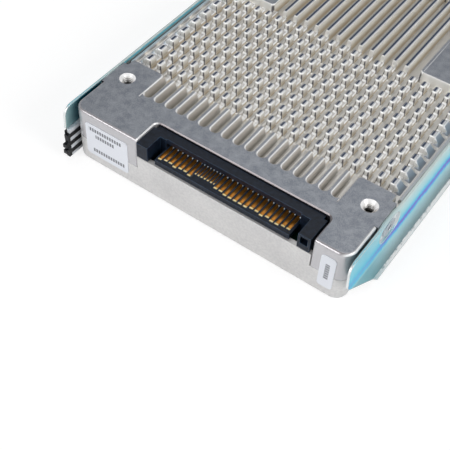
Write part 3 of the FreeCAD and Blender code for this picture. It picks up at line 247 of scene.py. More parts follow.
# %% [markdown]
# The height of the deck is the highest of these shapes. Each kind of edge has its own bevel,
# fillet and draft, and low ridges run between the channels across the field of pins.

# %% Height of the deck
RIDGE_EDGE, LAND_EDGE, PIN_EDGE = (0.28, 0.3), (0.4, 0.42), (0.28, 0.5, 0.13)
PIN_FOOT_EDGE, RIM_EDGE = (0.28, 0.45, 0.13), (0.12, 0.15, 0.2)
FIELD_MARGIN, RIDGE_MARGIN, LEDGE_FROM, EDGE_FROM, GUSSETS_FROM = 1.2, 0.06, 31.2, 31.6, 32.05
GUSSET_SPREAD, GUSSET_GAP, GUSSET_FADE = 0.5, 0.1, 0.35


def deck_height(x, y):
    """Height of the deck at every grid point, in millimetres."""
    side = np.abs(x)
    ridge_distance = np.abs(nearest_channel(x)) - (CHANNEL_HALF - RIDGE_MARGIN)
    ridge = edge_profile(ridge_distance, CROSS, CHANNEL, *RIDGE_EDGE)
    in_field = (y > FIELD_START - FIELD_MARGIN) & (y < FIELD_END + FIELD_MARGIN)
    height = np.where(in_field, ridge, CHANNEL)
    height = np.where(side > LEDGE_FROM, CROSS, height)
    height = np.maximum(height, edge_profile(front_land(x, y), TOP, CHANNEL, *LAND_EDGE))
    pin = edge_profile(pins(x, y), PIN_TOP, CHANNEL, *PIN_EDGE)
    height = np.maximum(height, np.where(in_field, pin, CHANNEL))
    foot = edge_profile(pins(x, y), PIN_TOP, CROSS, *PIN_FOOT_EDGE) + ridge - CROSS
    height = np.maximum(height, np.where(in_field & (ridge_distance > 0.02), foot, CHANNEL))
    fins, fields = long_fins(x, y)
    height = np.maximum(height, edge_profile(fins, PIN_TOP, CHANNEL))
    height = np.maximum(height, edge_profile(fields, TOP, CHANNEL))
    border = np.minimum(np.minimum(side - PAD_INNER, SLOPE_TOP - side), y - FIELD_END)
    height = np.where((border > BORDER + 0.02) & (fields > 0.3) & (y < RECESS_END), height - RECESS, height)
    beside = (y > FIELD_START) & (y < SIDE_END) & (side > EDGE_FROM)
    height = np.where(beside, outer_edge(side, y, height), height)
    return np.where((side > NOTCH_SIDE) & (y < NOTCH_END), CROSS, height)


def outer_edge(side, y, height):
    """The gussets beside the outer pins, and the thin rim along the drive's side."""
    pin = np.abs(y - nearest_row(y)) - PIN_LENGTH_HALF
    widening = np.clip((side - SLOPE_TOP) / (SLOPE_FOOT - SLOPE_TOP), 0, 1) * GUSSET_SPREAD
    gusset = np.clip(1 - (pin + GUSSET_GAP - widening) / GUSSET_FADE, 0, 1)
    gusset = np.where((y > FIELD_END) | (y < FIELD_START + 0.3), 1.0, gusset)
    slope = CROSS + (side_slope(side) - CROSS) * gusset
    rim = edge_profile(side - RIM_INNER, RIM, CROSS, *RIM_EDGE)
    return np.maximum(np.where(side > GUSSETS_FROM, slope, height), rim)


print("the deck rises from %.1f to %.1f mm" % (CHANNEL, TOP))

# %% [markdown]
# The grid lines repeat with the pins. Around each channel they sit close together on the
# wall and wide apart on the floor and the top.

# %% Grid lines
CLOSEST = 0.035


def both_sides(middles, steps):
    """Places at each step to either side of each middle."""
    return {round(middle + sign * step, 4) for middle in middles for step in steps for sign in (-1, 1)}


def spaced(places):
    """The places in order, without those that crowd the one before."""
    kept = []
    for place in sorted(places):
        if not kept or place - kept[-1] > CLOSEST:
            kept.append(place)
    return kept


def lines_across():
    """Side positions of the grid's lines."""
    steps = [0.0, 0.3, 0.55, 0.68, 0.8, 0.9, 0.97, 1.04, 1.1, 1.16, 1.24, CHANNEL_HALF + 0.5]
    right = both_sides([number * PITCH for number in range(11)], steps)
    right |= {FINS_HALF, 17.1, 17.2, 17.5, 18.3, 19.0, 19.4, 19.62, 19.72, 19.8, PAD_INNER, 20.0, 20.1,
              20.48, 20.58, 20.6, 20.72, 20.74, ENDS_HALF, SLOTTED_HALF, 25.1, 25.2, 25.3, SLOTS_HALF}
    right |= {30.78, 30.88, 31.0, 31.5, 32.0, 32.06, SLOPE_TOP, 32.3, 32.7, 33.2, 33.6, 33.7, 33.74,
              SLOPE_FOOT, 34.0, 34.1, 34.2, 34.25, RIM_INNER, 34.41, 34.47, 34.6, HALF_WIDTH}
    kept = spaced(place for place in right if 0 <= place <= HALF_WIDTH)
    kept[-1] = HALF_WIDTH
    return np.array([-place for place in reversed(kept[1:])] + kept)


def lines_along():
    """Depths of the grid's lines."""
    steps = [0.0, 0.45, 0.7, 0.78, 0.86, 0.94, 1.01, 1.07, 1.14, 1.22, 1.32, 1.45, 1.6, 1.75, ROW / 2]
    rows = both_sides([FIRST_PIN + row * ROW for row in range(-1, PIN_ROWS + 1)], steps)
    rows = {place for place in rows if FIELD_START - 0.1 < place < 57.2}
    rows |= {SLAB_START, 11.7, 11.82, 11.9, SLOT_START, 12.1, 12.25, 12.45, 12.7, 13.0, 13.5, 16.0,
             SLAB_TURN, 17.94, 18.9, 19.3, 19.6, 19.75, 19.85, FIELD_START, LAND_END, 20.1, 20.14, 20.15}
    rows |= {FIELD_END, 56.55, 56.65, 56.9, 57.03, 57.05, 57.15, 57.27, 57.3, 58.0, 61.0, 70.0, 80.4,
             SIDE_END, 84.0, 86.5, 87.0, 87.3, 87.5, 87.65, 87.8, 87.9, FINS_END, 88.1, 88.25, 88.45}
    rows.add(SLAB_END)
    return np.array(spaced(rows))


across, along = lines_across(), lines_along()
print("deck grid:", len(across), "by", len(along), "lines")

# %% [markdown]
# Only the finned middle of the casting is redrawn. A mask leaves the screw pads and both ends
# to the CAD shape, and the border of the mask is closed with walls and a floor, so the
# redrawn slab is a solid like any other piece.

# %% The deck slab
def slab_mask(x, y):
    """Which grid cells belong to the redrawn slab."""
    side = np.abs(x)
    slots = (y > SLAB_START) & (y < SLAB_TURN) & (side < SLOTS_HALF)
    field = (y > SLAB_TURN) & (y < SIDE_END)
    ends = (y >= SIDE_END) & (side < ENDS_HALF)
    return slots | field | ends


def build_slab():
    """Points and faces of the closed slab."""
    grid_x, grid_y = np.meshgrid(across, along, indexing="ij")
    height = deck_height(grid_x, grid_y)
    middle_x = (grid_x[1:, 1:] + grid_x[:-1, :-1]) / 2
    middle_y = (grid_y[1:, 1:] + grid_y[:-1, :-1]) / 2
    cells = slab_mask(middle_x, middle_y)
    rows, columns = grid_x.shape
    index = np.arange(rows * columns).reshape(rows, columns)
    top = np.stack([grid_x.ravel(), grid_y.ravel() + REAR, height.ravel()], 1)
    foot = top.copy()
    foot[:, 2] = SLAB_FOOT
    faces = []
    i, j = np.nonzero(cells)
    quads = np.stack([index[i, j], index[i + 1, j], index[i + 1, j + 1], index[i, j + 1]], 1)
    faces.extend(quads.tolist())
    faces.extend((quads[:, ::-1] + rows * columns).tolist())
    padded = np.pad(cells, 1)
    for step_i, step_j, first, second in ((-1, 0, (0, 0), (0, 1)), (1, 0, (1, 1), (1, 0)),
                                          (0, -1, (1, 0), (0, 0)), (0, 1, (0, 1), (1, 1))):
        open_side = cells & ~padded[1 + step_i:rows + step_i, 1 + step_j:columns + step_j]
        i, j = np.nonzero(open_side)
        a = index[i + first[0], j + first[1]]
        b = index[i + second[0], j + second[1]]
        faces.extend(np.stack([b, a, a + rows * columns, b + rows * columns], 1).tolist())
    return np.concatenate([top, foot]) * MM, faces


# %% [markdown]
# The slab needs a hole of its own shape in the casting. A boolean cut makes it in a copy of
# the CAD mesh, and the slab is then joined in, so one piece stands for the whole casting.

# %% Cutting a CAD copy
def edit_mesh(mesh, change):
    """Open a mesh, change it and write it back."""
    work = bmesh.new()
    work.from_mesh(mesh)
    change(work)
    work.to_mesh(mesh)
    work.free()


def cad_copy(node):
    """A copy of a CAD mesh with its split corners welded and its stored normals dropped."""
    mesh = nodes[node].data.copy()
    edit_mesh(mesh, lambda work: bmesh.ops.remove_doubles(work, verts=work.verts, dist=0.002 * MM))
    stored = mesh.attributes.get("custom_normal")
    if stored is not None:
        mesh.attributes.remove(stored)
    return mesh


def slab_cutter():
    """A closed shape that takes the slab's place out of the casting."""
    side, past = HALF_WIDTH + 0.5, TOP + 1.0
    right = [(SLOTS_HALF, SLAB_START), (SLOTS_HALF, SLAB_TURN), (side, SLAB_TURN), (side, SIDE_END),
             (ENDS_HALF, SIDE_END), (ENDS_HALF, SLAB_END)]
    left = [(-x, y) for x, y in reversed(right)]
    plan = left[-1:] + right + left[:-1]
    points = [metres(x, y, z) for z in (SLAB_FOOT, past) for x, y in plan]
    count = len(plan)
    return points, end_faces(0, 2, count, flipped=True) + skin(0, 2, count, flipped=True)


def cut_away(piece, points, faces):
    """Boolean cut of a closed shape out of a piece, applied at once."""
    mesh = bpy.data.meshes.new("cutter")
    mesh.from_pydata(points, [], faces)
    cutter = add_object("cutter", mesh)
    modifier = piece.modifiers.new("cut", "BOOLEAN")
    modifier.object = cutter
    modifier.operation = "DIFFERENCE"
    modifier.solver = "EXACT"
    bpy.context.view_layer.update()
    done = bpy.data.meshes.new_from_object(piece.evaluated_get(bpy.context.evaluated_depsgraph_get()))
    piece.modifiers.remove(modifier)
    piece.data = done
    bpy.data.objects.remove(cutter)


# %% [markdown]
# Level parts of the slab need no grid. Faces that lie in one plane are joined into large ones,
# which leaves a third of the triangles. Then the slab goes into the cut casting.

# %% The casting
def join_level_faces(work, degrees):
    """Join the faces that meet at less than an angle."""
    angle = math.radians(degrees)
    bmesh.ops.dissolve_limit(work, angle_limit=angle, verts=work.verts, edges=work.edges)


def thin_out(work):
    """Drop the slab's loose points, and join its floor and its level parts."""
    loose = [vertex for vertex in work.verts if not vertex.link_faces]
    bmesh.ops.delete(work, geom=loose, context="VERTS")
    low = (SLAB_FOOT + 0.0001) * MM
    floor = [face for face in work.faces if all(vertex.co.z < low for vertex in face.verts)]
    bmesh.ops.dissolve_faces(work, faces=floor)
    join_level_faces(work, 1.2)


def add_slab(work):
    """Tidy the cut casting and put the slab in it."""
    join_level_faces(work, 0.5)
    points, faces = build_slab()
    slab = bpy.data.meshes.new("slab")
    slab.from_pydata([tuple(point) for point in points], [], faces)
    edit_mesh(slab, thin_out)
    work.from_mesh(slab)


casting = add_object("heat_sink_casting", cad_copy("base_casting"))
cut_away(casting, *slab_cutter())
edit_mesh(casting.data, add_slab)
smooth_by_angle(casting, 38.0)
flat_first = casting.modifiers.new("flat_first", "WEIGHTED_NORMAL")
flat_first.keep_sharp = True
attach(casting, "carrier")
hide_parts("base_casting")
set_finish(casting, "cast_alloy")
print("casting:", sum(face.loop_total - 2 for face in casting.data.polygons), "triangles")

# %% [markdown]
# ## Trims
# Two plastic parts are copied with a little cut away: the plug's back wall stands slightly
# farther back over the contacts, and the contact block is thinner at its front end. The metal
# strips between the block's fins are redrawn almost flush with them. A boolean cut serves
# again, because the rest of each part is right as it is.

# %% Trimmed copies
def box_shape(sides, depths, heights):
    """Corner points and faces of a closed box."""
    points = [metres(side, depth, height) for height in heights for depth in depths for side in sides]
    faces = [(0, 2, 3, 1), (4, 5, 7, 6), (0, 1, 5, 4), (2, 6, 7, 3), (0, 4, 6, 2), (1, 3, 7, 5)]
    return points, faces


def trimmed(node, slot, *boxes):
    """A copy of a CAD part with boxes cut out of it."""
    piece = add_object(node + "_trimmed", cad_copy(node))
    for box in boxes:
        cut_away(piece, *box_shape(*box))
    smooth_by_angle(piece, 30.0)
    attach(piece, "carrier")
    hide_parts(node)
    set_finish(piece, slot)
    return piece


# sides, depths and heights of what is cut away
OVER_CONTACTS = (-12.6, 21.0)
UPPER_WALL = (OVER_CONTACTS, (4.2, 4.78), (11.75, TOP))
LOWER_WALL = (OVER_CONTACTS, (4.2, 5.94), (11.75, 13.15))
BLOCK_FRONT = ((-38.0, -36.08), (-4.0, 3.0), (-1.0, 9.0))
plug = trimmed("connector_housing", "plug_black", UPPER_WALL, LOWER_WALL)
block = trimmed("contact_block", "block_black", BLOCK_FRONT)
STRIP_SIDES, STRIP_DEPTHS = (-36.0, -35.16), (-1.4, 5.7)
STRIP_HEIGHTS = ((0.45, 1.35), (2.55, 3.65), (4.85, 5.95), (7.15, 8.15))


def make_strips():
    """Metal strips between the block's fins, almost flush with them."""
    points, faces = [], []
    for heights in STRIP_HEIGHTS:
        corners, sides = box_shape(STRIP_SIDES, STRIP_DEPTHS, heights)
        faces.extend(tuple(len(points) + corner for corner in side) for side in sides)
        points.extend(corners)
    piece = make_piece("contact_strip_bars", points, faces, "strip_metal")
    rounded = piece.modifiers.new("rounded", "BEVEL")
    rounded.width, rounded.segments = 0.06 * MM, 2
    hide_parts("contact_strips")
    return piece


strips = make_strips()
print("trimmed:", len(plug.data.polygons), "and", len(block.data.polygons), "faces, and",
      len(STRIP_HEIGHTS), "strips")

# %% [markdown]
# ## Contacts
# Each flat CAD contact is replaced by a stamped strip: its tip curls down at the front, and
# its long edges are rounded. A bevel would round every edge alike, also where the metal sinks
# into the plastic. Here a rounded section is carried along a short path instead.

# %% Strips
CONTACT_TOP, BOARD_TOP, STRIP_THICKNESS, LEG_DEPTHS = 11.54, 8.5, 0.13, (6.3, 6.5)


def rounded_section(half, edge, thickness):
    """Side places and drops below the top of a flat strip with rounded long edges."""
    drops = [(half, thickness), (half, edge), (half - edge * 0.3, edge * 0.3), (half - edge, 0.0)]
    return [(-side, drop) for side, drop in drops] + [(side, drop) for side, drop in reversed(drops)]


def swept_strip(points, faces, middle, half, path, edge=0.07, thickness=STRIP_THICKNESS):
    """Add a closed strip that follows a path of depths and heights."""
    section = rounded_section(half, edge, thickness)
    start, rings, count = len(points), len(path), len(section)
    for depth, top in path:
        points.extend(metres(middle + side, depth, top - drop) for side, drop in section)
    faces.extend(skin(start, rings, count, flipped=True) + end_faces(start, rings, count, flipped=True))


def add_leg(points, faces, middle, half):
    """The upright leg of a contact, down to the board."""
    near, far = LEG_DEPTHS
    start = len(points)
    for height in (BOARD_TOP, CONTACT_TOP - 0.01):
        for side, depth in ((-half, near), (half, near), (half, far), (-half, far)):
            points.append(metres(middle + side, depth, height))
    faces.extend(end_faces(start, 2, 4, flipped=True) + skin(start, 2, 4, flipped=True))


# %% [markdown]
# A plug of this kind has seven wide contacts, seven fine ones and fifteen wide ones. Some
# stand farther forward, because they must mate first. Each gets a pressed bump at its tip and
# a small heel at its far end.

# %% Contacts
ROWS = {  # the first contact's side place, the pitch, the number, half the width, the long ones
    "signal_contacts": (-11.93, 1.27, 7, 0.43, (0, 3, 6)),
    "second_port_contacts": (-3.46, 0.8, 7, 0.21, ()),
    "power_contacts": (2.2, 1.27, 15, 0.43, (2, 3, 4, 5, 6, 9, 11, 12))}
LONG_TIP, USUAL_TIP, FINE_TIP, HEEL_START = 1.25, 1.65, 2.4, 5.62
# places along a tip or heel, with the drop or rise there
CURL = [(0.0, 0.16), (0.05, 0.07), (0.16, 0.02), (0.35, 0.0)]
TIP = [(0.0, -0.06), (0.05, 0.0), (0.14, 0.05), (0.3, 0.06), (0.44, 0.03), (0.52, -0.03)]
HEEL = [(0.0, -0.02), (0.06, 0.08), (0.16, 0.12), (0.26, 0.12)]


def contacts_of(row):
    """The middle, the half width and the depth of the tip of each contact in a row."""
    first, pitch, count, half, long_ones = ROWS[row]
    usual = FINE_TIP if row == "second_port_contacts" else USUAL_TIP
    return [(first + number * pitch, half, LONG_TIP if number in long_ones else usual)
            for number in range(count)]


def make_contact_row(row):
    """All contacts of a row as one piece, each with a curled tip and a flat run."""
    points, faces = [], []
    for middle, half, tip in contacts_of(row):
        path = [(tip + along_tip, CONTACT_TOP - drop) for along_tip, drop in CURL]
        swept_strip(points, faces, middle, half, path + [(LEG_DEPTHS[1], CONTACT_TOP)])
        add_leg(points, faces, middle, half)
    piece = make_piece(row + "_strips", points, faces, "contact_gold")
    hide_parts(row)
    return piece


def make_tips():
    """The pressed bumps at the contacts' tips."""
    points, faces = [], []
    for middle, half, tip in [contact for row in ROWS for contact in contacts_of(row)]:
        path = [(tip - 0.03 + along_tip, CONTACT_TOP + rise) for along_tip, rise in TIP]
        swept_strip(points, faces, middle, half + 0.01, path)
    return make_piece("contact_tips", points, faces, "contact_gold")


def make_heels():
    """The small heels at the contacts' far ends, on the right of each."""
    points, faces = [], []
    for middle, half, _ in [contact for row in ROWS for contact in contacts_of(row)]:
        path = [(HEEL_START + along_heel, CONTACT_TOP + rise) for along_heel, rise in HEEL]
        swept_strip(points, faces, middle + half - 0.1, 0.12, path)
    return make_piece("contact_heels", points, faces, "contact_gold")


contact_pieces = [make_contact_row(row) for row in ROWS]
contact_ends = [make_tips(), make_heels()]
print("contacts:", [len(piece.data.polygons) for piece in contact_pieces], "faces")

# %% [markdown]
# Low plastic ribs part the contacts. Their rounded tops catch thin lines of light. The strip
# helper rounds them too, so no other way to draw them is needed.

# %% Ribs between the contacts
RIB_TOP, RIB_END = 11.68, 11.76


def make_ribs():
    """A rib on either side of each contact, along the plug's tongue."""
    points, faces = [], []
    for row, (first, pitch, count, half, _) in ROWS.items():
        width = (pitch - 2 * half) / 2 - 0.07
        start = 2.2 if row == "second_port_contacts" else 1.15
        path = [(start, 11.6), (start + 0.1, RIB_TOP), (5.6, RIB_TOP), (5.8, RIB_END), (5.94, RIB_END)]
        for number in range(count + 1):
            middle = first + (number - 0.5) * pitch
            swept_strip(points, faces, middle, width, path, 0.06, 0.1)
    return make_piece("contact_ribs", points, faces, "plug_black")


ribs = make_ribs()
print("ribs:", len(ribs.data.polygons), "faces")

# %% [markdown]
# ## Threads
# The four fixing holes on the deck show a few turns of thread. A true thread is a helix, but
# at this size rings look the same and need no run-out. Each ring has a sharp inner ridge and
# lies just inside the hole's wall.

# %% Threads
HOLE_SIDE, HOLE_DEPTHS, HOLE_RADIUS = 30.86, (14.0, 90.6), 1.25
THREAD_PITCH, FIRST_TURN, TURNS, AROUND = 0.5, TOP - 0.85, 5, 40


def ring_of_thread(points, faces, side, depth, height):
    """One closed ring: two corners in the wall, a flank, a ridge and a flank."""
    section = [(HOLE_RADIUS + 0.03, 0.2), (HOLE_RADIUS - 0.02, 0.2), (HOLE_RADIUS - 0.2, 0.02),
               (HOLE_RADIUS - 0.2, -0.02), (HOLE_RADIUS - 0.02, -0.2), (HOLE_RADIUS + 0.03, -0.2)]
    faces.extend(skin(len(points), AROUND, len(section), closed=True))
    for step in range(AROUND):
        angle = 2 * math.pi * step / AROUND
        points.extend(metres(side + radius * math.cos(angle), depth + radius * math.sin(angle),
                             height + lift) for radius, lift in section)


def make_threads():
    """A few turns in each hole."""
    points, faces = [], []
    for side in (-1, 1):
        for depth in HOLE_DEPTHS:
            for turn in range(TURNS):
                ring_of_thread(points, faces, side * HOLE_SIDE, depth, FIRST_TURN - turn * THREAD_PITCH)
    return make_piece("hole_threads", points, faces, "cast_alloy", smooth=20.0)


threads = make_threads()
print("threads:", len(threads.data.polygons), "faces")

# %% [markdown]
# ## Springs
# The CAD springs have straight steps. These have a round wire and smooth turns. A curve with
# a round bevel would draw them too, but points placed by a loop can use the ring helpers,
# which also close the ends.

# %% Springs
WIRE, COIL_PITCH, ROUND_WIRE, TURN_STEPS = 0.5, 0.95, 12, 32


def smooth_coil(points, faces, radius, height, placed):
    """Add a round wire along a helix, closed at both ends."""
    steps = int(TURN_STEPS * height / COIL_PITCH)
    for make_faces in (skin, end_faces):
        faces.extend(make_faces(len(points), steps + 1, ROUND_WIRE))
    for step in range(steps + 1):
        angle = 2 * math.pi * step * height / COIL_PITCH / steps
        outward = Vector((math.cos(angle), math.sin(angle), 0))
        centre = outward * radius + Vector((0, 0, height * step / steps))
        for turn in range(ROUND_WIRE):
            round_angle = 2 * math.pi * turn / ROUND_WIRE
            offset = outward * math.cos(round_angle) + Vector((0, 0, 1)) * math.sin(round_angle)
            points.append(placed(centre + offset * WIRE / 2))


def make_spring(node, turned):
    """A smooth coil in the place of a CAD spring. Turned swings its axis from z."""
    low, high = (Vector(corner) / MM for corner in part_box(node))
    middle, size = (low + high) / 2, high - low
    height = (size.y if turned else size.z) - WIRE - 0.06
    swing = Matrix.Rotation(-math.pi / 2, 3, "X") if turned else Matrix.Identity(3)

    def placed(point):
        """A point of the upright coil, swung and moved to the spring's place."""
        return tuple((middle + swing @ (point - Vector((0, 0, height / 2)))) * MM)

    points, faces = [], []
    smooth_coil(points, faces, size.x / 2 - WIRE / 2 - 0.02, height, placed)
    piece = make_piece(node + "_coil", points, faces, "spring_steel")
    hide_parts(node)
    return piece


springs = [make_spring("lever_spring", False), make_spring("button_spring", True)]
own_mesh(springs[1])
print("springs:", [len(spring.data.polygons) for spring in springs], "faces")

# %% [markdown]
# ## Finishes
# Every finish is procedural. Colours are written as they should look on screen and turned
# into the linear values that the shader works with. A socket knows the node tree it belongs
# to, so the helpers below add their nodes to the tree of the socket they are given.

# %% Material helpers
def seen(red, green, blue):
    """A colour as it looks on screen, 0 to 255, as linear values."""
    values = [value / 255 for value in (red, green, blue)]
    return tuple(v / 12.92 if v <= 0.04045 else ((v + 0.055) / 1.055) ** 2.4 for v in values)


def new_material(name, colour, metallic=0.0, roughness=0.5, coat=0.0):
    """A material with its plain values set, its node tree and its shader."""
    material = bpy.data.materials.new(name)
    material.use_nodes = True
    tree = material.node_tree
    shader = tree.nodes["Principled BSDF"]
    shader.inputs["Base Color"].default_value = (*colour, 1.0)
    shader.inputs["Metallic"].default_value = metallic
    shader.inputs["Roughness"].default_value = roughness
    shader.inputs["Coat Weight"].default_value = coat
    return material, tree, shader


def add(tree, kind, **settings):
    """Add a node and set its properties."""
    node = tree.nodes.new(kind)
    for name, value in settings.items():
        setattr(node, name, value)
    return node


def tree_of(*values):
    """The node tree of the first socket among some values."""
    return next(value.id_data for value in values if isinstance(value, bpy.types.NodeSocket))


def feed(socket, value):
    """Join a socket to another, or give it a plain value."""
    if isinstance(value, bpy.types.NodeSocket):
        tree_of(socket).links.new(value, socket)
    else:
        socket.default_value = value


def maths(operation, *values):
    """A maths node fed by sockets or numbers; returns its output."""
    node = add(tree_of(*values), "ShaderNodeMath", operation=operation)
    for slot, value in enumerate(values):
        feed(node.inputs[slot], value)
    return node.outputs[0]


def ranged(value, low, high, to_low=0.0, to_high=1.0):
    """A value stretched from one range to another and kept inside it."""
    node = add(tree_of(value), "ShaderNodeMapRange")
    for slot, item in enumerate((value, low, high, to_low, to_high)):
        feed(node.inputs[slot], item)
    return node.outputs[0]


def blended(amount, first, second):
    """Two colours mixed by an amount."""
    node = add(tree_of(amount), "ShaderNodeMix", data_type="RGBA")
    feed(node.inputs[0], amount)
    for slot, value in ((6, first), (7, second)):
        feed(node.inputs[slot], (*value, 1.0) if isinstance(value, tuple) else value)
    return node.outputs[2]


def colour_ramp(level, steps):
    """A ramp of places from 0 to 1, each with its colour."""
    node = add(tree_of(level), "ShaderNodeValToRGB")
    ramp = node.color_ramp
    while len(ramp.elements) < len(steps):
        ramp.elements.new(0.5)
    for element, (place, colour) in zip(ramp.elements, steps):
        element.position = place
        element.color = (*colour, 1.0)
    feed(node.inputs[0], level)
    return node.outputs[0]


# %% [markdown]
# A mask is a value from 0 to 1 that says where a colour lies. ranged(height, 14.1, 14.3) rises
# from 0 to 1 between those two heights, and with the numbers the other way round it falls.
# Masks are joined like sets, and a colour is built up in layers, each through its own mask.

# %% Mask helpers
def band(value, start, full, fade, end):
    """A mask that rises from start to full and falls again from fade to end."""
    return all_of(ranged(value, start, full), ranged(value, end, fade))


def all_of(first, *others):
    """The mask where all of several masks hold."""
    for other in others:
        first = maths("MULTIPLY", first, other)
    return first


def any_of(first, *others):
    """The mask where at least one of several masks holds."""
    for other in others:
        first = maths("MAXIMUM", first, other)
    return first


def outside_of(mask):
    """The mask of everything else."""
    return maths("SUBTRACT", 1.0, mask)


def layered(colour, *layers):
    """A colour with others laid over it, each through its mask."""
    for mask, over in layers:
        colour = blended(mask, colour, seen(*over) if isinstance(over, tuple) else over)
    return colour


# %% [markdown]
# ### Shared effects
# Three effects turn up in many finishes, so each is a node group made once: rounded edges with
# a mask along them for painted edge highlights, a mottled surface, and fine brushing lines.

# %% Shared node groups
FINER, BROAD_SHARE, STRETCH = 11.0, 0.42, 0.02


def new_group(name, entry, value, **outputs):
    """A shader node group with one number going in and its outputs, ready to be filled."""
    group = bpy.data.node_groups.new(name, "ShaderNodeTree")
    socket = group.interface.new_socket(entry, in_out="INPUT", socket_type="NodeSocketFloat")
    socket.default_value = value
    for title, kind in outputs.items():
        group.interface.new_socket(title, in_out="OUTPUT", socket_type="NodeSocket" + kind)
    return group, group.nodes.new("NodeGroupInput"), group.nodes.new("NodeGroupOutput")


def make_edge_group():
    """Rounded normals, and a mask that is 1 along sharp edges."""
    group, entry, leave = new_group("soft_edges", "Radius", 0.0002, Mask="Float", Normal="Vector")
    rounded = add(group, "ShaderNodeBevel", samples=6)
    plain = add(group, "ShaderNodeNewGeometry")
    turned = add(group, "ShaderNodeVectorMath", operation="DOT_PRODUCT")
    feed(rounded.inputs["Radius"], entry.outputs["Radius"])
    feed(turned.inputs[0], rounded.outputs["Normal"])
    feed(turned.inputs[1], plain.outputs["Normal"])
    mask = ranged(turned.outputs["Value"], 0.995, 0.90)
    feed(leave.inputs["Mask"], mask)
    feed(leave.inputs["Normal"], rounded.outputs["Normal"])
    return group


def make_mottle_group():
    """Soft blotches and fine speckle, from 0 to 1, and a height for bumps."""
    group, entry, leave = new_group("mottle", "Size", 0.002, Value="Float", Height="Float")
    place = add(group, "ShaderNodeTexCoord")
    frequency = maths("DIVIDE", 1.0, entry.outputs["Size"])
    broad = add(group, "ShaderNodeTexNoise")
    fine = add(group, "ShaderNodeTexNoise")
    for noise, times, detail in ((broad, 1.0, 4.0), (fine, FINER, 2.0)):
        feed(noise.inputs["Vector"], place.outputs["Object"])
        feed(noise.inputs["Scale"], maths("MULTIPLY", frequency, times))
        noise.inputs["Detail"].default_value = detail
    mixed = maths("ADD", maths("MULTIPLY", broad.outputs[0], BROAD_SHARE),
                  maths("MULTIPLY", fine.outputs[0], 1.0 - BROAD_SHARE))
    feed(leave.inputs["Value"], ranged(mixed, 0.36, 0.64))
    feed(leave.inputs["Height"], fine.outputs[0])
    return group


def make_brush_group():
    """Fine lines along the side axis, as rolling and brushing leave them."""
    group, entry, leave = new_group("brushing", "Fineness", 9000.0, Value="Float")
    place = add(group, "ShaderNodeTexCoord")
    stretch = add(group, "ShaderNodeMapping")
    stretch.inputs["Scale"].default_value = (STRETCH, 1.0, 1.0)
    lines = add(group, "ShaderNodeTexNoise")
    lines.inputs["Detail"].default_value = 3.0
    feed(stretch.inputs["Vector"], place.outputs["Object"])
    feed(lines.inputs["Vector"], stretch.outputs["Vector"])
    feed(lines.inputs["Scale"], entry.outputs["Fineness"])
    feed(leave.inputs["Value"], lines.outputs[0])
    return group


edge_group, mottle_group, brush_group = make_edge_group(), make_mottle_group(), make_brush_group()
print("shared effects:", edge_group.name, mottle_group.name, brush_group.name)

# %% [markdown]
# The groups are placed with a small helper. Bumps are kept outside them, so that each
# material sets its own strength. Two more helpers say which way a surface faces and where it
# lies.

# %% Placing the effects
def use_group(tree, group, value):
    """A group node with its one input set."""
    node = add(tree, "ShaderNodeGroup", node_tree=group)
    feed(node.inputs[0], value)
    return node


def coloured(shader, colour, height, strength, distance, normal=None):
    """Give a shader its colour, and a bump on its normal."""
    node = add(tree_of(height), "ShaderNodeBump")
    node.inputs["Strength"].default_value = strength
    node.inputs["Distance"].default_value = distance
    feed(node.inputs["Height"], height)
    if normal is not None:
        feed(node.inputs["Normal"], normal)
    feed(shader.inputs["Normal"], node.outputs["Normal"])
    feed(shader.inputs["Base Color"], colour)


def facing(tree):
    """How far the shaded surface turns right, back and up."""
    geometry = add(tree, "ShaderNodeNewGeometry")
    split = add(tree, "ShaderNodeSeparateXYZ")
    feed(split.inputs[0], geometry.outputs["Normal"])
    return split.outputs[0], split.outputs[1], split.outputs[2]


def place_parts(tree):
    """Side, depth and height of the shaded point, in millimetres."""
    place = add(tree, "ShaderNodeTexCoord")
    split = add(tree, "ShaderNodeSeparateXYZ")
    feed(split.inputs[0], place.outputs["Object"])
    side, along_y, height = (maths("MULTIPLY", split.outputs[axis], 1000.0) for axis in range(3))
    return side, maths("SUBTRACT", along_y, REAR), height


finishes = {}
print("ready for the finishes")

# %% [markdown]
# ### Cast alloy
# The flats of the casting look blue-grey and mottled, partly from a tumbled finish and partly
# from a painted reflection of a dark ceiling. The channels, walls and rounded edges stay bright
# and slightly warm, with painted highlights and a painted warm sheen. Where a surface lies and
# which way it faces tell them apart. First the flats: they face up and lie high.

# %% Flats of the casting
BESIDE_PINS, HIGH_FLAT, OVER_GUSSETS = (20.0, 20.3, 79.9, 80.2), (14.55, 14.7), (32.2, 32.5)


def flat_masks(up, side, depth, height):
    """Masks of the high flats, of the pins' tops among them, and of the gussets' slopes."""
    flats = all_of(ranged(up, 0.93, 0.995), ranged(height, *HIGH_FLAT))
    tips = all_of(ranged(up, 0.982, 1.0), band(height, *HIGH_FLAT, 14.8, 14.86))
    away = maths("ABSOLUTE", side)
    beside = band(depth, *BESIDE_PINS)
    slanted = band(up, 0.4, 0.55, 0.8, 0.92)
    gussets = all_of(ranged(away, *OVER_GUSSETS), beside, slanted)
    rim = all_of(ranged(away, 34.3, 34.36), beside)
    return flats, tips, any_of(gussets, maths("MULTIPLY", rim, 0.6))


# %% [markdown]
# Then the walls, rounded edges and fillets, with light and shade painted on them. The walls that
# face right get a painted warm sheen that darkens towards their foot, the slot walls painted
# shade towards their foot, the pins' corners a painted dark reflection, the walls near the plug
# and the edges turned from the lamps painted shade, and the edges that turn to the light painted
# highlights almost white.

# %% Walls and edges of the casting
PLUG_SIDE, TILTED = (3.0, 4.0, 10.5, 11.0), (0.12, 0.35, 0.9, 0.985)
FOOT_HEIGHTS, RIDGE_HEIGHTS = (12.98, 13.02, 13.3, 13.5), (12.6, 12.7, 13.0, 13.04)


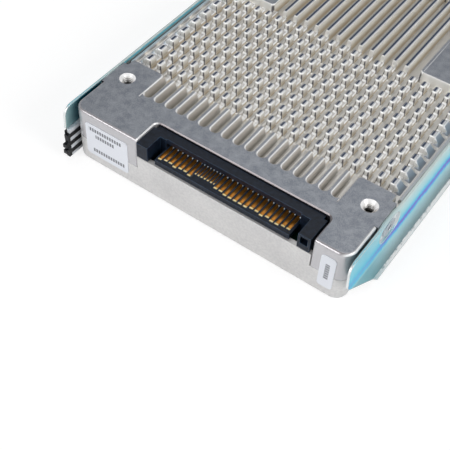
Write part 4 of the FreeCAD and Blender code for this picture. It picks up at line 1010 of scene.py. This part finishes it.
def layered_walls(colour, right, back, up, depth, height):
    """The colour of the walls and edges, with painted light and shade, over that of the floors, and the
    painted highlights' mask.
    """
    field = ranged(depth, 20.2, 21.0)
    inner = ranged(depth, 10.8, 11.4)
    high = ranged(height, 14.1, 14.3)
    tilted = band(up, *TILTED)
    backward = ranged(back, -0.1, -0.3)
    lit = any_of(ranged(right, 0.05, 0.3), ranged(back, -0.05, -0.3))
    walls = all_of(ranged(up, 0.4, 0.2), ranged(height, 14.8, 14.4))
    # Painted warm sheen on the walls that face right, darker towards their foot.
    right_wall_sheen = all_of(ranged(right, 0.5, 0.9), walls, field)
    right_wall_sheen_colour = blended(ranged(height, 12.7, 14.0), seen(222, 206, 180), seen(255, 253, 247))
    # Painted dark reflection on the pins' corners that turn towards the front.
    corners = all_of(band(back, -0.97, -0.85, -0.5, -0.3), walls, field)
    # Painted shade: the slots' walls darken towards their foot.
    slots = all_of(walls, outside_of(field), inner)
    slot_wall_shade = blended(ranged(height, 12.5, 14.1), seen(186, 184, 179), seen(230, 224, 217))
    # Painted shade, nearly black, on the walls near the plug that face its end.
    shade_behind_plug = all_of(ranged(back, -0.6, -0.9), band(depth, *PLUG_SIDE))
    # Painted shade on the edges near the plug that face its end.
    near_plug = all_of(backward, band(depth, *PLUG_SIDE), tilted)
    # Painted shade on the top edges turned from the lamps.
    shaded = all_of(tilted, outside_of(lit), high, inner)
    # Painted highlight on the slots' rims that face away from the lamps.
    slot_rim_highlights = all_of(shaded, outside_of(field))
    # Painted shade: the outer top edges are grey, and only those that face right get the painted highlight.
    outer = all_of(tilted, high, outside_of(inner))
    # Painted highlights, almost white, on the pins' feet, the ridges and the outer edges that face right;
    # with the lit top edges they make the bright mask.
    feet = all_of(tilted, backward, band(height, *FOOT_HEIGHTS), field)
    ridges = all_of(tilted, ranged(right, 0.1, 0.3), band(height, *RIDGE_HEIGHTS), field)
    outer_right = all_of(outer, ranged(right, 0.2, 0.5))
    bright = any_of(all_of(tilted, lit, high, inner), outer_right, feet, ridges)
    colour = layered(colour, (slots, slot_wall_shade), (right_wall_sheen, right_wall_sheen_colour), (corners, (104, 102, 106)),
                     (shade_behind_plug, (50, 50, 56)), (shaded, (128, 134, 144)), (slot_rim_highlights, (226, 221, 216)),
                     (outer, (178, 175, 178)), (near_plug, (128, 122, 124)), (bright, (255, 255, 255)))
    return colour, bright


# %% [markdown]
# The tops of the pins and fins get a painted dark reflection left of their middle, and painted
# light beside it. The flats are more metallic and rougher than the bright edges.

# %% Cast alloy
# Where the painted dark reflection lies across each pitch on a pin's top.
PIN_TOP_REFLECTION_BAND = (0.95, 1.1, 1.56, 1.76)


def make_cast_alloy():
    """The casting's alloy, from its floors up to its edges."""
    material, tree, shader = new_material("cast_alloy", seen(210, 208, 204), 0.6, 0.32)
    right, back, up = facing(tree)
    side, depth, height = place_parts(tree)
    blotches = use_group(tree, mottle_group, 0.0018)
    outside = any_of(ranged(depth, 11.2, 10.8), ranged(height, 11.4, 11.0))
    floors = blended(ranged(height, 12.2, 14.4), seen(244, 242, 237), seen(228, 228, 226))
    floors = blended(outside, floors, seen(204, 203, 206))
    colour, bright = layered_walls(floors, right, back, up, depth, height)
    flats, tips, gussets = flat_masks(up, side, depth, height)
    # The flats' mottled blue-grey is partly a tumbled finish and partly a painted reflection of a dark
    # ceiling.
    flat_tone_and_reflection = blended(blotches.outputs["Value"], seen(136, 142, 152), seen(180, 184, 191))
    # Painted light on the pins' and fins' tops, with a painted dark reflection left of their middle.
    dark_reflection_core = band(maths("FLOORED_MODULO", side, PITCH), *PIN_TOP_REFLECTION_BAND)
    # Painted highlights: white lines along the gussets' edges.
    highlight_edges = use_group(tree, edge_group, 0.00018).outputs["Mask"]
    lines = all_of(highlight_edges, ranged(maths("ABSOLUTE", side), 32.0, 32.2), band(depth, *BESIDE_PINS))
    colour = layered(colour, (gussets, (172, 179, 190)), (flats, flat_tone_and_reflection), (tips, (236, 238, 242)),
                     (all_of(tips, dark_reflection_core), (66, 78, 102)), (lines, (250, 250, 250)))
    dull = any_of(flats, gussets)
    feed(shader.inputs["Roughness"], ranged(dull, 0.0, 1.0, 0.24, 0.46))
    metal = any_of(dull, maths("MULTIPLY", outside_of(bright), 0.5))
    feed(shader.inputs["Metallic"], ranged(metal, 0.0, 1.0, 0.1, 0.85))
    coloured(shader, colour, blotches.outputs["Height"], 0.2, 0.00003)
    return material


finishes["cast_alloy"] = make_cast_alloy()
print("made the casting's alloy")

# %% [markdown]
# ### Sheet metals
# The bottom cover is satin aluminium with the fine lines of the rolling mill. Thousands of
# scratches would be too many faces, so a noise stretched along one axis feeds the roughness
# and a bump.

# %% Bottom cover
def make_cover_sheet():
    """Satin aluminium with fine rolling lines."""
    material, tree, shader = new_material("cover_sheet", seen(214, 213, 212), 0.35, 0.36)
    lines = use_group(tree, brush_group, 9000.0)
    blotches = use_group(tree, mottle_group, 0.006)
    colour = blended(blotches.outputs["Value"], seen(206, 205, 205), seen(222, 221, 220))
    feed(shader.inputs["Roughness"], ranged(lines.outputs["Value"], 0.3, 0.7, 0.3, 0.42))
    edges = use_group(tree, edge_group, 0.0002)
    coloured(shader, colour, lines.outputs["Value"], 0.12, 0.00003, edges.outputs["Normal"])
    return material


finishes["cover_sheet"] = make_cover_sheet()
print("made the cover's sheet")

# %% [markdown]
# The rails are zinc plated, and the plating's thin film gives them blue, cyan and violet
# colours. A ramp of colours over the height paints these together with painted reflection and
# shade: pale high up, dark teal low down, and a white painted highlight at the lip. The film's
# colour could be worked out from its thickness, but it changes with height along the fold, so a
# ramp is simpler and easier to adjust. The inner face has painted shade beside the casting, the
# nose a stronger cyan that is partly painted sheen, the dimples round the screws and the edges
# painted highlights, and the cut ends their own colour.

# %% Rails
# The ramp paints the film's colours together with painted reflection and shade: pale high up, dark teal low
# down, a white painted highlight at the lip.
RAIL_FILM_AND_REFLECTION = [  # height on the rail in millimetres, and the colour seen there
    (0.9, (250, 252, 252)), (1.2, (96, 126, 132)), (3.2, (124, 160, 166)), (5.6, (162, 204, 210)),
    (7.3, (168, 228, 236)), (8.0, (84, 206, 246)), (8.5, (70, 140, 242)), (9.0, (124, 92, 210)),
    (9.5, (66, 134, 242)), (10.3, (84, 214, 248)), (11.8, (172, 234, 240)), (14.9, (218, 238, 234))]
RAIL_TOP, CREASE, CREASE_HALF, RAIL_SLOPES = 15.0, 8.9, 36.2, (0.1076, 0.0667)
FILM_DRIFT, PRESSED_GAPS = 0.02, ((0.015, 0.05), (0.22, 0.4))


def pressed_mask(side, height, outward, shallow, deep):
    """Where the rail's outer face is pressed inward, round the screws."""
    over = maths("SUBTRACT", CREASE, height)
    lean = any_of(*(maths("MULTIPLY", over, slope) for slope in RAIL_SLOPES))
    gap = maths("SUBTRACT", maths("ADD", lean, CREASE_HALF), maths("ABSOLUTE", side))
    return all_of(ranged(gap, shallow, deep), ranged(outward, -0.3, -0.1), ranged(height, 14.7, 14.4))


def inner_face(depth, height):
    """The colour of a rail's inner face: pale at the nose, then dark with painted shade beside the casting,
    then pale with a blue line.
    """
    far = blended(ranged(height, 13.7, 14.2), seen(206, 212, 212), seen(130, 226, 246))
    # Painted shade: dark teal just behind the nose, beside the casting.
    near = blended(ranged(depth, -2.2, 3.4), seen(150, 184, 184), seen(20, 98, 120))
    return blended(ranged(depth, 8.0, 18.0), near, far)


def make_rail_steel():
    """Zinc plating whose film colour and painted reflection change with height, with painted highlights on
    the pressed dimples and the edges.
    """
    material, tree, shader = new_material("rail_steel", seen(160, 200, 210), 0.4, 0.26)
    right, back, _ = facing(tree)
    side, depth, height = place_parts(tree)
    blotches = use_group(tree, mottle_group, 0.009)
    drift = ranged(blotches.outputs["Value"], 0.0, 1.0, -FILM_DRIFT, FILM_DRIFT)
    level = maths("ADD", maths("DIVIDE", height, RAIL_TOP), drift)
    # The film's colours and the painted reflection and shade, by height.
    film = colour_ramp(level, [(place / RAIL_TOP, seen(*colour)) for place, colour in RAIL_FILM_AND_REFLECTION])
    # A stronger cyan near the nose and a darker teal under it: partly film colour, partly painted sheen and
    # shade.
    near_nose = all_of(ranged(depth, 18.0, 4.0, 0.0, 0.7), ranged(height, 7.2, 8.2))
    under_nose = all_of(ranged(depth, 16.0, 6.0, 0.0, 0.8), ranged(height, 8.0, 6.6))
    outward = maths("MULTIPLY", right, maths("SIGN", side))
    inner = all_of(ranged(outward, -0.3, -0.6), ranged(height, 14.75, 14.5))
    ends = ranged(maths("ABSOLUTE", back), 0.4, 0.6)
    # Painted highlights in the dimples: cyan at their rims and white deeper in.
    pressed, dimple_highlight = (pressed_mask(side, height, outward, *gaps) for gaps in PRESSED_GAPS)
    # The edges' pale colour is a painted highlight.
    edges = use_group(tree, edge_group, 0.00045)
    colour = layered(film, (near_nose, (72, 204, 232)), (under_nose, (84, 164, 176)),
                     (inner, inner_face(depth, height)), (pressed, (150, 226, 246)),
                     (dimple_highlight, (244, 250, 252)), (edges.outputs["Mask"], (232, 240, 240)),
                     (ends, (246, 250, 250)))
    coloured(shader, colour, blotches.outputs["Height"], 0.1, 0.00003, edges.outputs["Normal"])
    return material


finishes["rail_steel"] = make_rail_steel()
print("made the rails' steel, with", len(RAIL_FILM_AND_REFLECTION), "film colours")

# %% [markdown]
# ### Plain finishes
# Plastics, boards, gold and the small steel parts share one recipe: two close colours that a
# mottle blends, with painted highlights along the edges and a light bump. One table with a line
# for each finish makes them easy to compare.

# %% Plain finishes
FINISHES = {
    # name: dark colour, light colour, painted edge highlight colour, metallic, roughness, mottle size,
    # coat, shine
    "plug_black": ((2, 5, 12), (28, 39, 56), (62, 90, 118), 0.0, 0.34, 0.0009, 0.0, 0.3),
    "block_black": ((8, 8, 10), (16, 17, 20), (64, 70, 80), 0.0, 0.36, 0.0006, 0.0, 0.4),
    "front_black": ((22, 22, 24), (34, 34, 37), (60, 61, 66), 0.0, 0.55, 0.0004, 0.0, 0.5),
    "button_grey": ((92, 95, 100), (106, 109, 114), (140, 142, 146), 0.0, 0.5, 0.0004, 0.0, 0.5),
    "chip_black": ((26, 27, 29), (36, 37, 40), (56, 58, 62), 0.0, 0.45, 0.0005, 0.0, 0.5),
    "board_green": ((12, 62, 44), (20, 84, 58), (60, 120, 90), 0.0, 0.34, 0.0012, 0.3, 0.5),
    # Painted highlights: a lighter gold for the contacts' tips, and a bluish white glint for their heels.
    "gold_tip_highlight": ((255, 226, 150), (255, 238, 186), (255, 250, 226), 0.15, 0.3, 0.0006, 0.0, 0.6),
    "gold_heel_glint": ((196, 220, 240), (216, 234, 248), (240, 248, 255), 0.1, 0.3, 0.0006, 0.0, 0.6),
    "pin_steel": ((168, 170, 173), (190, 192, 195), (225, 227, 230), 0.8, 0.28, 0.0008, 0.0, 0.5),
    "screw_steel": ((176, 182, 188), (206, 212, 218), (240, 246, 250), 0.6, 0.30, 0.0006, 0.0, 0.5),
    "spring_steel": ((140, 142, 146), (166, 168, 172), (210, 212, 216), 0.8, 0.28, 0.0008, 0.0, 0.5),
    "strip_metal": ((214, 218, 224), (232, 236, 240), (250, 252, 255), 0.15, 0.34, 0.0008, 0.0, 0.5),
    "pad_grey": ((120, 122, 128), (136, 138, 144), (150, 152, 158), 0.0, 0.8, 0.0008, 0.0, 0.5),
    "capacitor_tan": ((178, 140, 62), (198, 160, 80), (216, 190, 130), 0.0, 0.45, 0.0008, 0.0, 0.5),
    "flex_amber": ((150, 84, 22), (178, 108, 36), (200, 140, 70), 0.0, 0.35, 0.001, 0.2, 0.5),
}


def make_plain(name):
    """One of the finishes in the table."""
    dark, light, edge, metallic, roughness, size, coat, shine = FINISHES[name]
    material, tree, shader = new_material(name, seen(*light), metallic, roughness, coat)
    shader.inputs["Specular IOR Level"].default_value = shine
    blotches = use_group(tree, mottle_group, size)
    edges = use_group(tree, edge_group, 0.00012)
    body = blended(blotches.outputs["Value"], seen(*dark), seen(*light))
    # The edges get a painted highlight.
    colour = blended(edges.outputs["Mask"], body, seen(*edge))
    coloured(shader, colour, blotches.outputs["Height"], 0.12, 0.00002, edges.outputs["Normal"])
    return material


finishes.update({name: make_plain(name) for name in FINISHES})
print("made", len(FINISHES), "plain finishes")

# %% [markdown]
# ### Gold and threads
# The contacts are dark amber on top, with painted highlights on their tips and long edges. The
# long edges turn right or left, so the direction of the surface finds them. The threads are bare
# metal, with painted light where they face up and painted shade deep down in the hole.

# %% Gold and threads
def make_contact_gold():
    """Amber gold with painted highlights on its long edges."""
    material, tree, shader = new_material("contact_gold", seen(196, 132, 46), 0.75, 0.26)
    right = facing(tree)[0]
    blotches = use_group(tree, mottle_group, 0.0006)
    body = blended(blotches.outputs["Value"], seen(150, 94, 30), seen(206, 140, 56))
    # Painted highlights on the long edges, which turn right or left.
    edges = ranged(maths("ABSOLUTE", right), 0.3, 0.6)
    colour = layered(body, (edges, (255, 218, 140)))
    feed(shader.inputs["Metallic"], ranged(edges, 0.0, 1.0, 0.75, 0.2))
    coloured(shader, colour, blotches.outputs["Height"], 0.1, 0.00002)
    return material


def make_thread_alloy():
    """Bare metal, with painted light where it faces up and painted shade low in the hole."""
    material, tree, shader = new_material("thread_alloy", seen(206, 206, 206), 0.3, 0.4)
    blotches = use_group(tree, mottle_group, 0.001)
    # Painted light on the flanks that face up, and painted shade low in the hole.
    body = blended(ranged(facing(tree)[2], 0.0, 0.6), seen(122, 122, 124), seen(238, 237, 235))
    colour = blended(ranged(place_parts(tree)[2], 13.35, 12.6), body, seen(60, 58, 55))
    coloured(shader, colour, blotches.outputs["Height"], 0.1, 0.00002)
    return material


finishes["contact_gold"] = make_contact_gold()
finishes["thread_alloy"] = make_thread_alloy()
print("made the contacts' gold and the threads' alloy")

# %% [markdown]
# ### Stickers and light pipes
# The stickers carry rows of short grey bars where a real one has small print. Masks draw the
# bars in the material, so they need no picture and no extra pieces. The light pipes are clear
# plastic.

# %% Stickers and light pipes
BAR_PITCHES, BAR_GAP = 1.45, 0.3
SIDE_ROWS = [(10.9, -30.4, -21.4), (9.2, -28.6, -23.4), (4.9, -29.6, -20.6)]
UPRIGHT_ROW = (30.5, 5.6, 10.2)


def printed_row(across_row, along_row, middle, start, end):
    """A mask of one row of bars: its middle line, and where it starts and ends."""
    off = maths("ABSOLUTE", maths("SUBTRACT", across_row, middle))
    bars = maths("FRACT", maths("MULTIPLY", along_row, BAR_PITCHES))
    return all_of(maths("LESS_THAN", off, 0.5), maths("GREATER_THAN", along_row, start),
                  maths("LESS_THAN", along_row, end), maths("GREATER_THAN", bars, BAR_GAP))


def make_label_white():
    """White paper with rows of grey bars."""
    material, tree, shader = new_material("label_white", seen(232, 235, 241), 0.0, 0.45)
    side, _, height = place_parts(tree)
    rows = [printed_row(height, side, *row) for row in SIDE_ROWS]
    ink = any_of(*rows, printed_row(side, height, *UPRIGHT_ROW))
    colour = blended(maths("MULTIPLY", ink, 0.8), seen(224, 227, 234), seen(58, 60, 68))
    blotches = use_group(tree, mottle_group, 0.003)
    coloured(shader, colour, blotches.outputs["Height"], 0.05, 0.00002)
    return material


def make_pipe_clear():
    """Clear plastic that lets the light through."""
    clear = seen(226, 232, 236)
    material, tree, shader = new_material("pipe_clear", clear, 0.0, 0.12)
    shader.inputs["Transmission Weight"].default_value = 0.7
    blotches = use_group(tree, mottle_group, 0.001)
    coloured(shader, (*clear, 1.0), blotches.outputs["Height"], 0.05, 0.00002)
    return material


finishes["label_white"] = make_label_white()
finishes["pipe_clear"] = make_pipe_clear()
print("made", len(finishes), "finishes in all")

# %% [markdown]
# Each CAD part names the finish it wants, and so does each new piece. These loops give every
# mesh the material of that name. The threads and the contacts' ends have finishes of their own,
# which carry painted light: the contacts' tips and heels get painted highlights.

# %% Dress every piece
def dress(piece, name):
    """Give a piece one of the finishes."""
    piece.data.materials.clear()
    piece.data.materials.append(finishes[name])


for node, piece in nodes.items():
    if node != "base_casting":
        dress(piece, piece.data.materials[0].name.split(".")[0])
for piece in [plug, block, strips, *contact_pieces, ribs, *springs, casting]:
    dress(piece, piece["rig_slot"])
# Painted highlights: a lighter gold on the contacts' tips and a bluish white glint on their heels.
for piece, finish in zip([threads, *contact_ends], ["thread_alloy", "gold_tip_highlight", "gold_heel_glint"]):
    dress(piece, finish)
print("dressed", len(nodes), "parts")

# %% [markdown]
# ## Studio
# A pale floor fades into a white world and keeps the drive's soft shadow. Lamps strong enough
# to make the floor white would wash out the drive, so the floor glows for the camera alone.

# %% Floor and world
FLOOR_HALF, FLOOR_GLOW, GLOW_SHARE = 3.0, 1.22, 0.62
WORLD_LIGHT = [(0.50, 0.50), (0.62, 0.62), (0.74, 0.30), (0.88, 0.14), (1.0, 0.30)]


def make_floor():
    """A wide floor, mostly bright to the camera, so only the shadow shows."""
    mesh = bpy.data.meshes.new("floor")
    corners = [(FLOOR_HALF * x, FLOOR_HALF * y, 0) for x, y in ((-1, -1), (1, -1), (1, 1), (-1, 1))]
    mesh.from_pydata(corners, [], [(0, 1, 2, 3)])
    floor = add_object("floor", mesh)
    material, tree, shader = new_material("floor_white", (0.92, 0.92, 0.92), 0.0, 0.9)
    glow = add(tree, "ShaderNodeEmission")
    glow.inputs["Color"].default_value = (1.0, 1.0, 1.0, 1.0)
    glow.inputs["Strength"].default_value = FLOOR_GLOW
    path = add(tree, "ShaderNodeLightPath")
    mix = add(tree, "ShaderNodeMixShader")
    feed(mix.inputs[0], maths("MULTIPLY", path.outputs["Is Camera Ray"], GLOW_SHARE))
    feed(mix.inputs[1], shader.outputs[0])
    feed(mix.inputs[2], glow.outputs[0])
    feed(tree.nodes["Material Output"].inputs[0], mix.outputs[0])
    mesh.materials.append(material)


def make_world():
    """A world that is white to the camera, and for light bright low down and dimmer above."""
    world = bpy.data.worlds.new("studio")
    bpy.context.scene.world = world
    world.use_nodes = True
    tree = world.node_tree
    place = add(tree, "ShaderNodeTexCoord")
    split = add(tree, "ShaderNodeSeparateXYZ")
    feed(split.inputs[0], place.outputs["Generated"])
    steps = [(share, (light, light, light * 1.01)) for share, light in WORLD_LIGHT]
    level = colour_ramp(ranged(split.outputs[2], -1.0, 1.0), steps)
    path = add(tree, "ShaderNodeLightPath")
    colour = blended(path.outputs["Is Camera Ray"], level, (1.0, 1.0, 1.0))
    feed(tree.nodes["Background"].inputs[0], colour)


make_floor()
make_world()
print("floor:", FLOOR_HALF * 2, "m wide, under a white world")

# %% [markdown]
# Three square lamps light the drive: one from the plug end's left, one from the right, and a
# weak one from above the far end. They are large, which gives the shadows soft edges.

# %% Lamps
def area_lamp(name, place, size, power):
    """A square lamp that looks at the drive."""
    data = bpy.data.lights.new(name, "AREA")
    data.energy, data.size = power, size
    lamp = add_object(name, data)
    lamp.location = place
    lamp.rotation_euler = (Vector((0, 0, 0)) - Vector(place)).to_track_quat("-Z", "Y").to_euler()


area_lamp("front_lamp", (-0.25, -0.75, 0.35), 0.5, 3.4)
area_lamp("right_lamp", (0.75, -0.05, 0.45), 0.4, 3.2)
area_lamp("top_lamp", (-0.15, 0.35, 0.85), 0.6, 1.2)
print("three lamps lit")

# %% [markdown]
# ## Camera
# The camera stands where the photographer stood. Its place and its three axes were worked out
# from the known sizes of the drive, and the picture is shifted a little, as in the photograph.

# %% Camera
LENS, SHIFT = 71.46, 0.0556
CAMERA_AT = metres(70.475, -100.464, 147.250)
LOOK, UP = Vector((-0.36772, 0.52371, -0.76845)), Vector((-0.46722, 0.61043, 0.63959))


def make_camera():
    """A camera from its place, its view direction and its up direction."""
    data = bpy.data.cameras.new("camera")
    data.lens, data.sensor_width, data.shift_x, data.clip_start = LENS, 36.0, SHIFT, 0.01
    camera = add_object("camera", data)
    forward = LOOK.normalized()
    right = forward.cross(UP).normalized()
    above = right.cross(forward)
    turn = Matrix((right, above, -forward)).transposed()
    camera.matrix_world = Matrix.Translation(Vector(CAMERA_AT)) @ turn.to_4x4()
    bpy.context.scene.camera = camera


make_camera()
print("camera at", [round(part, 3) for part in CAMERA_AT])
bpy.context.scene.view_settings.view_transform = "Standard"
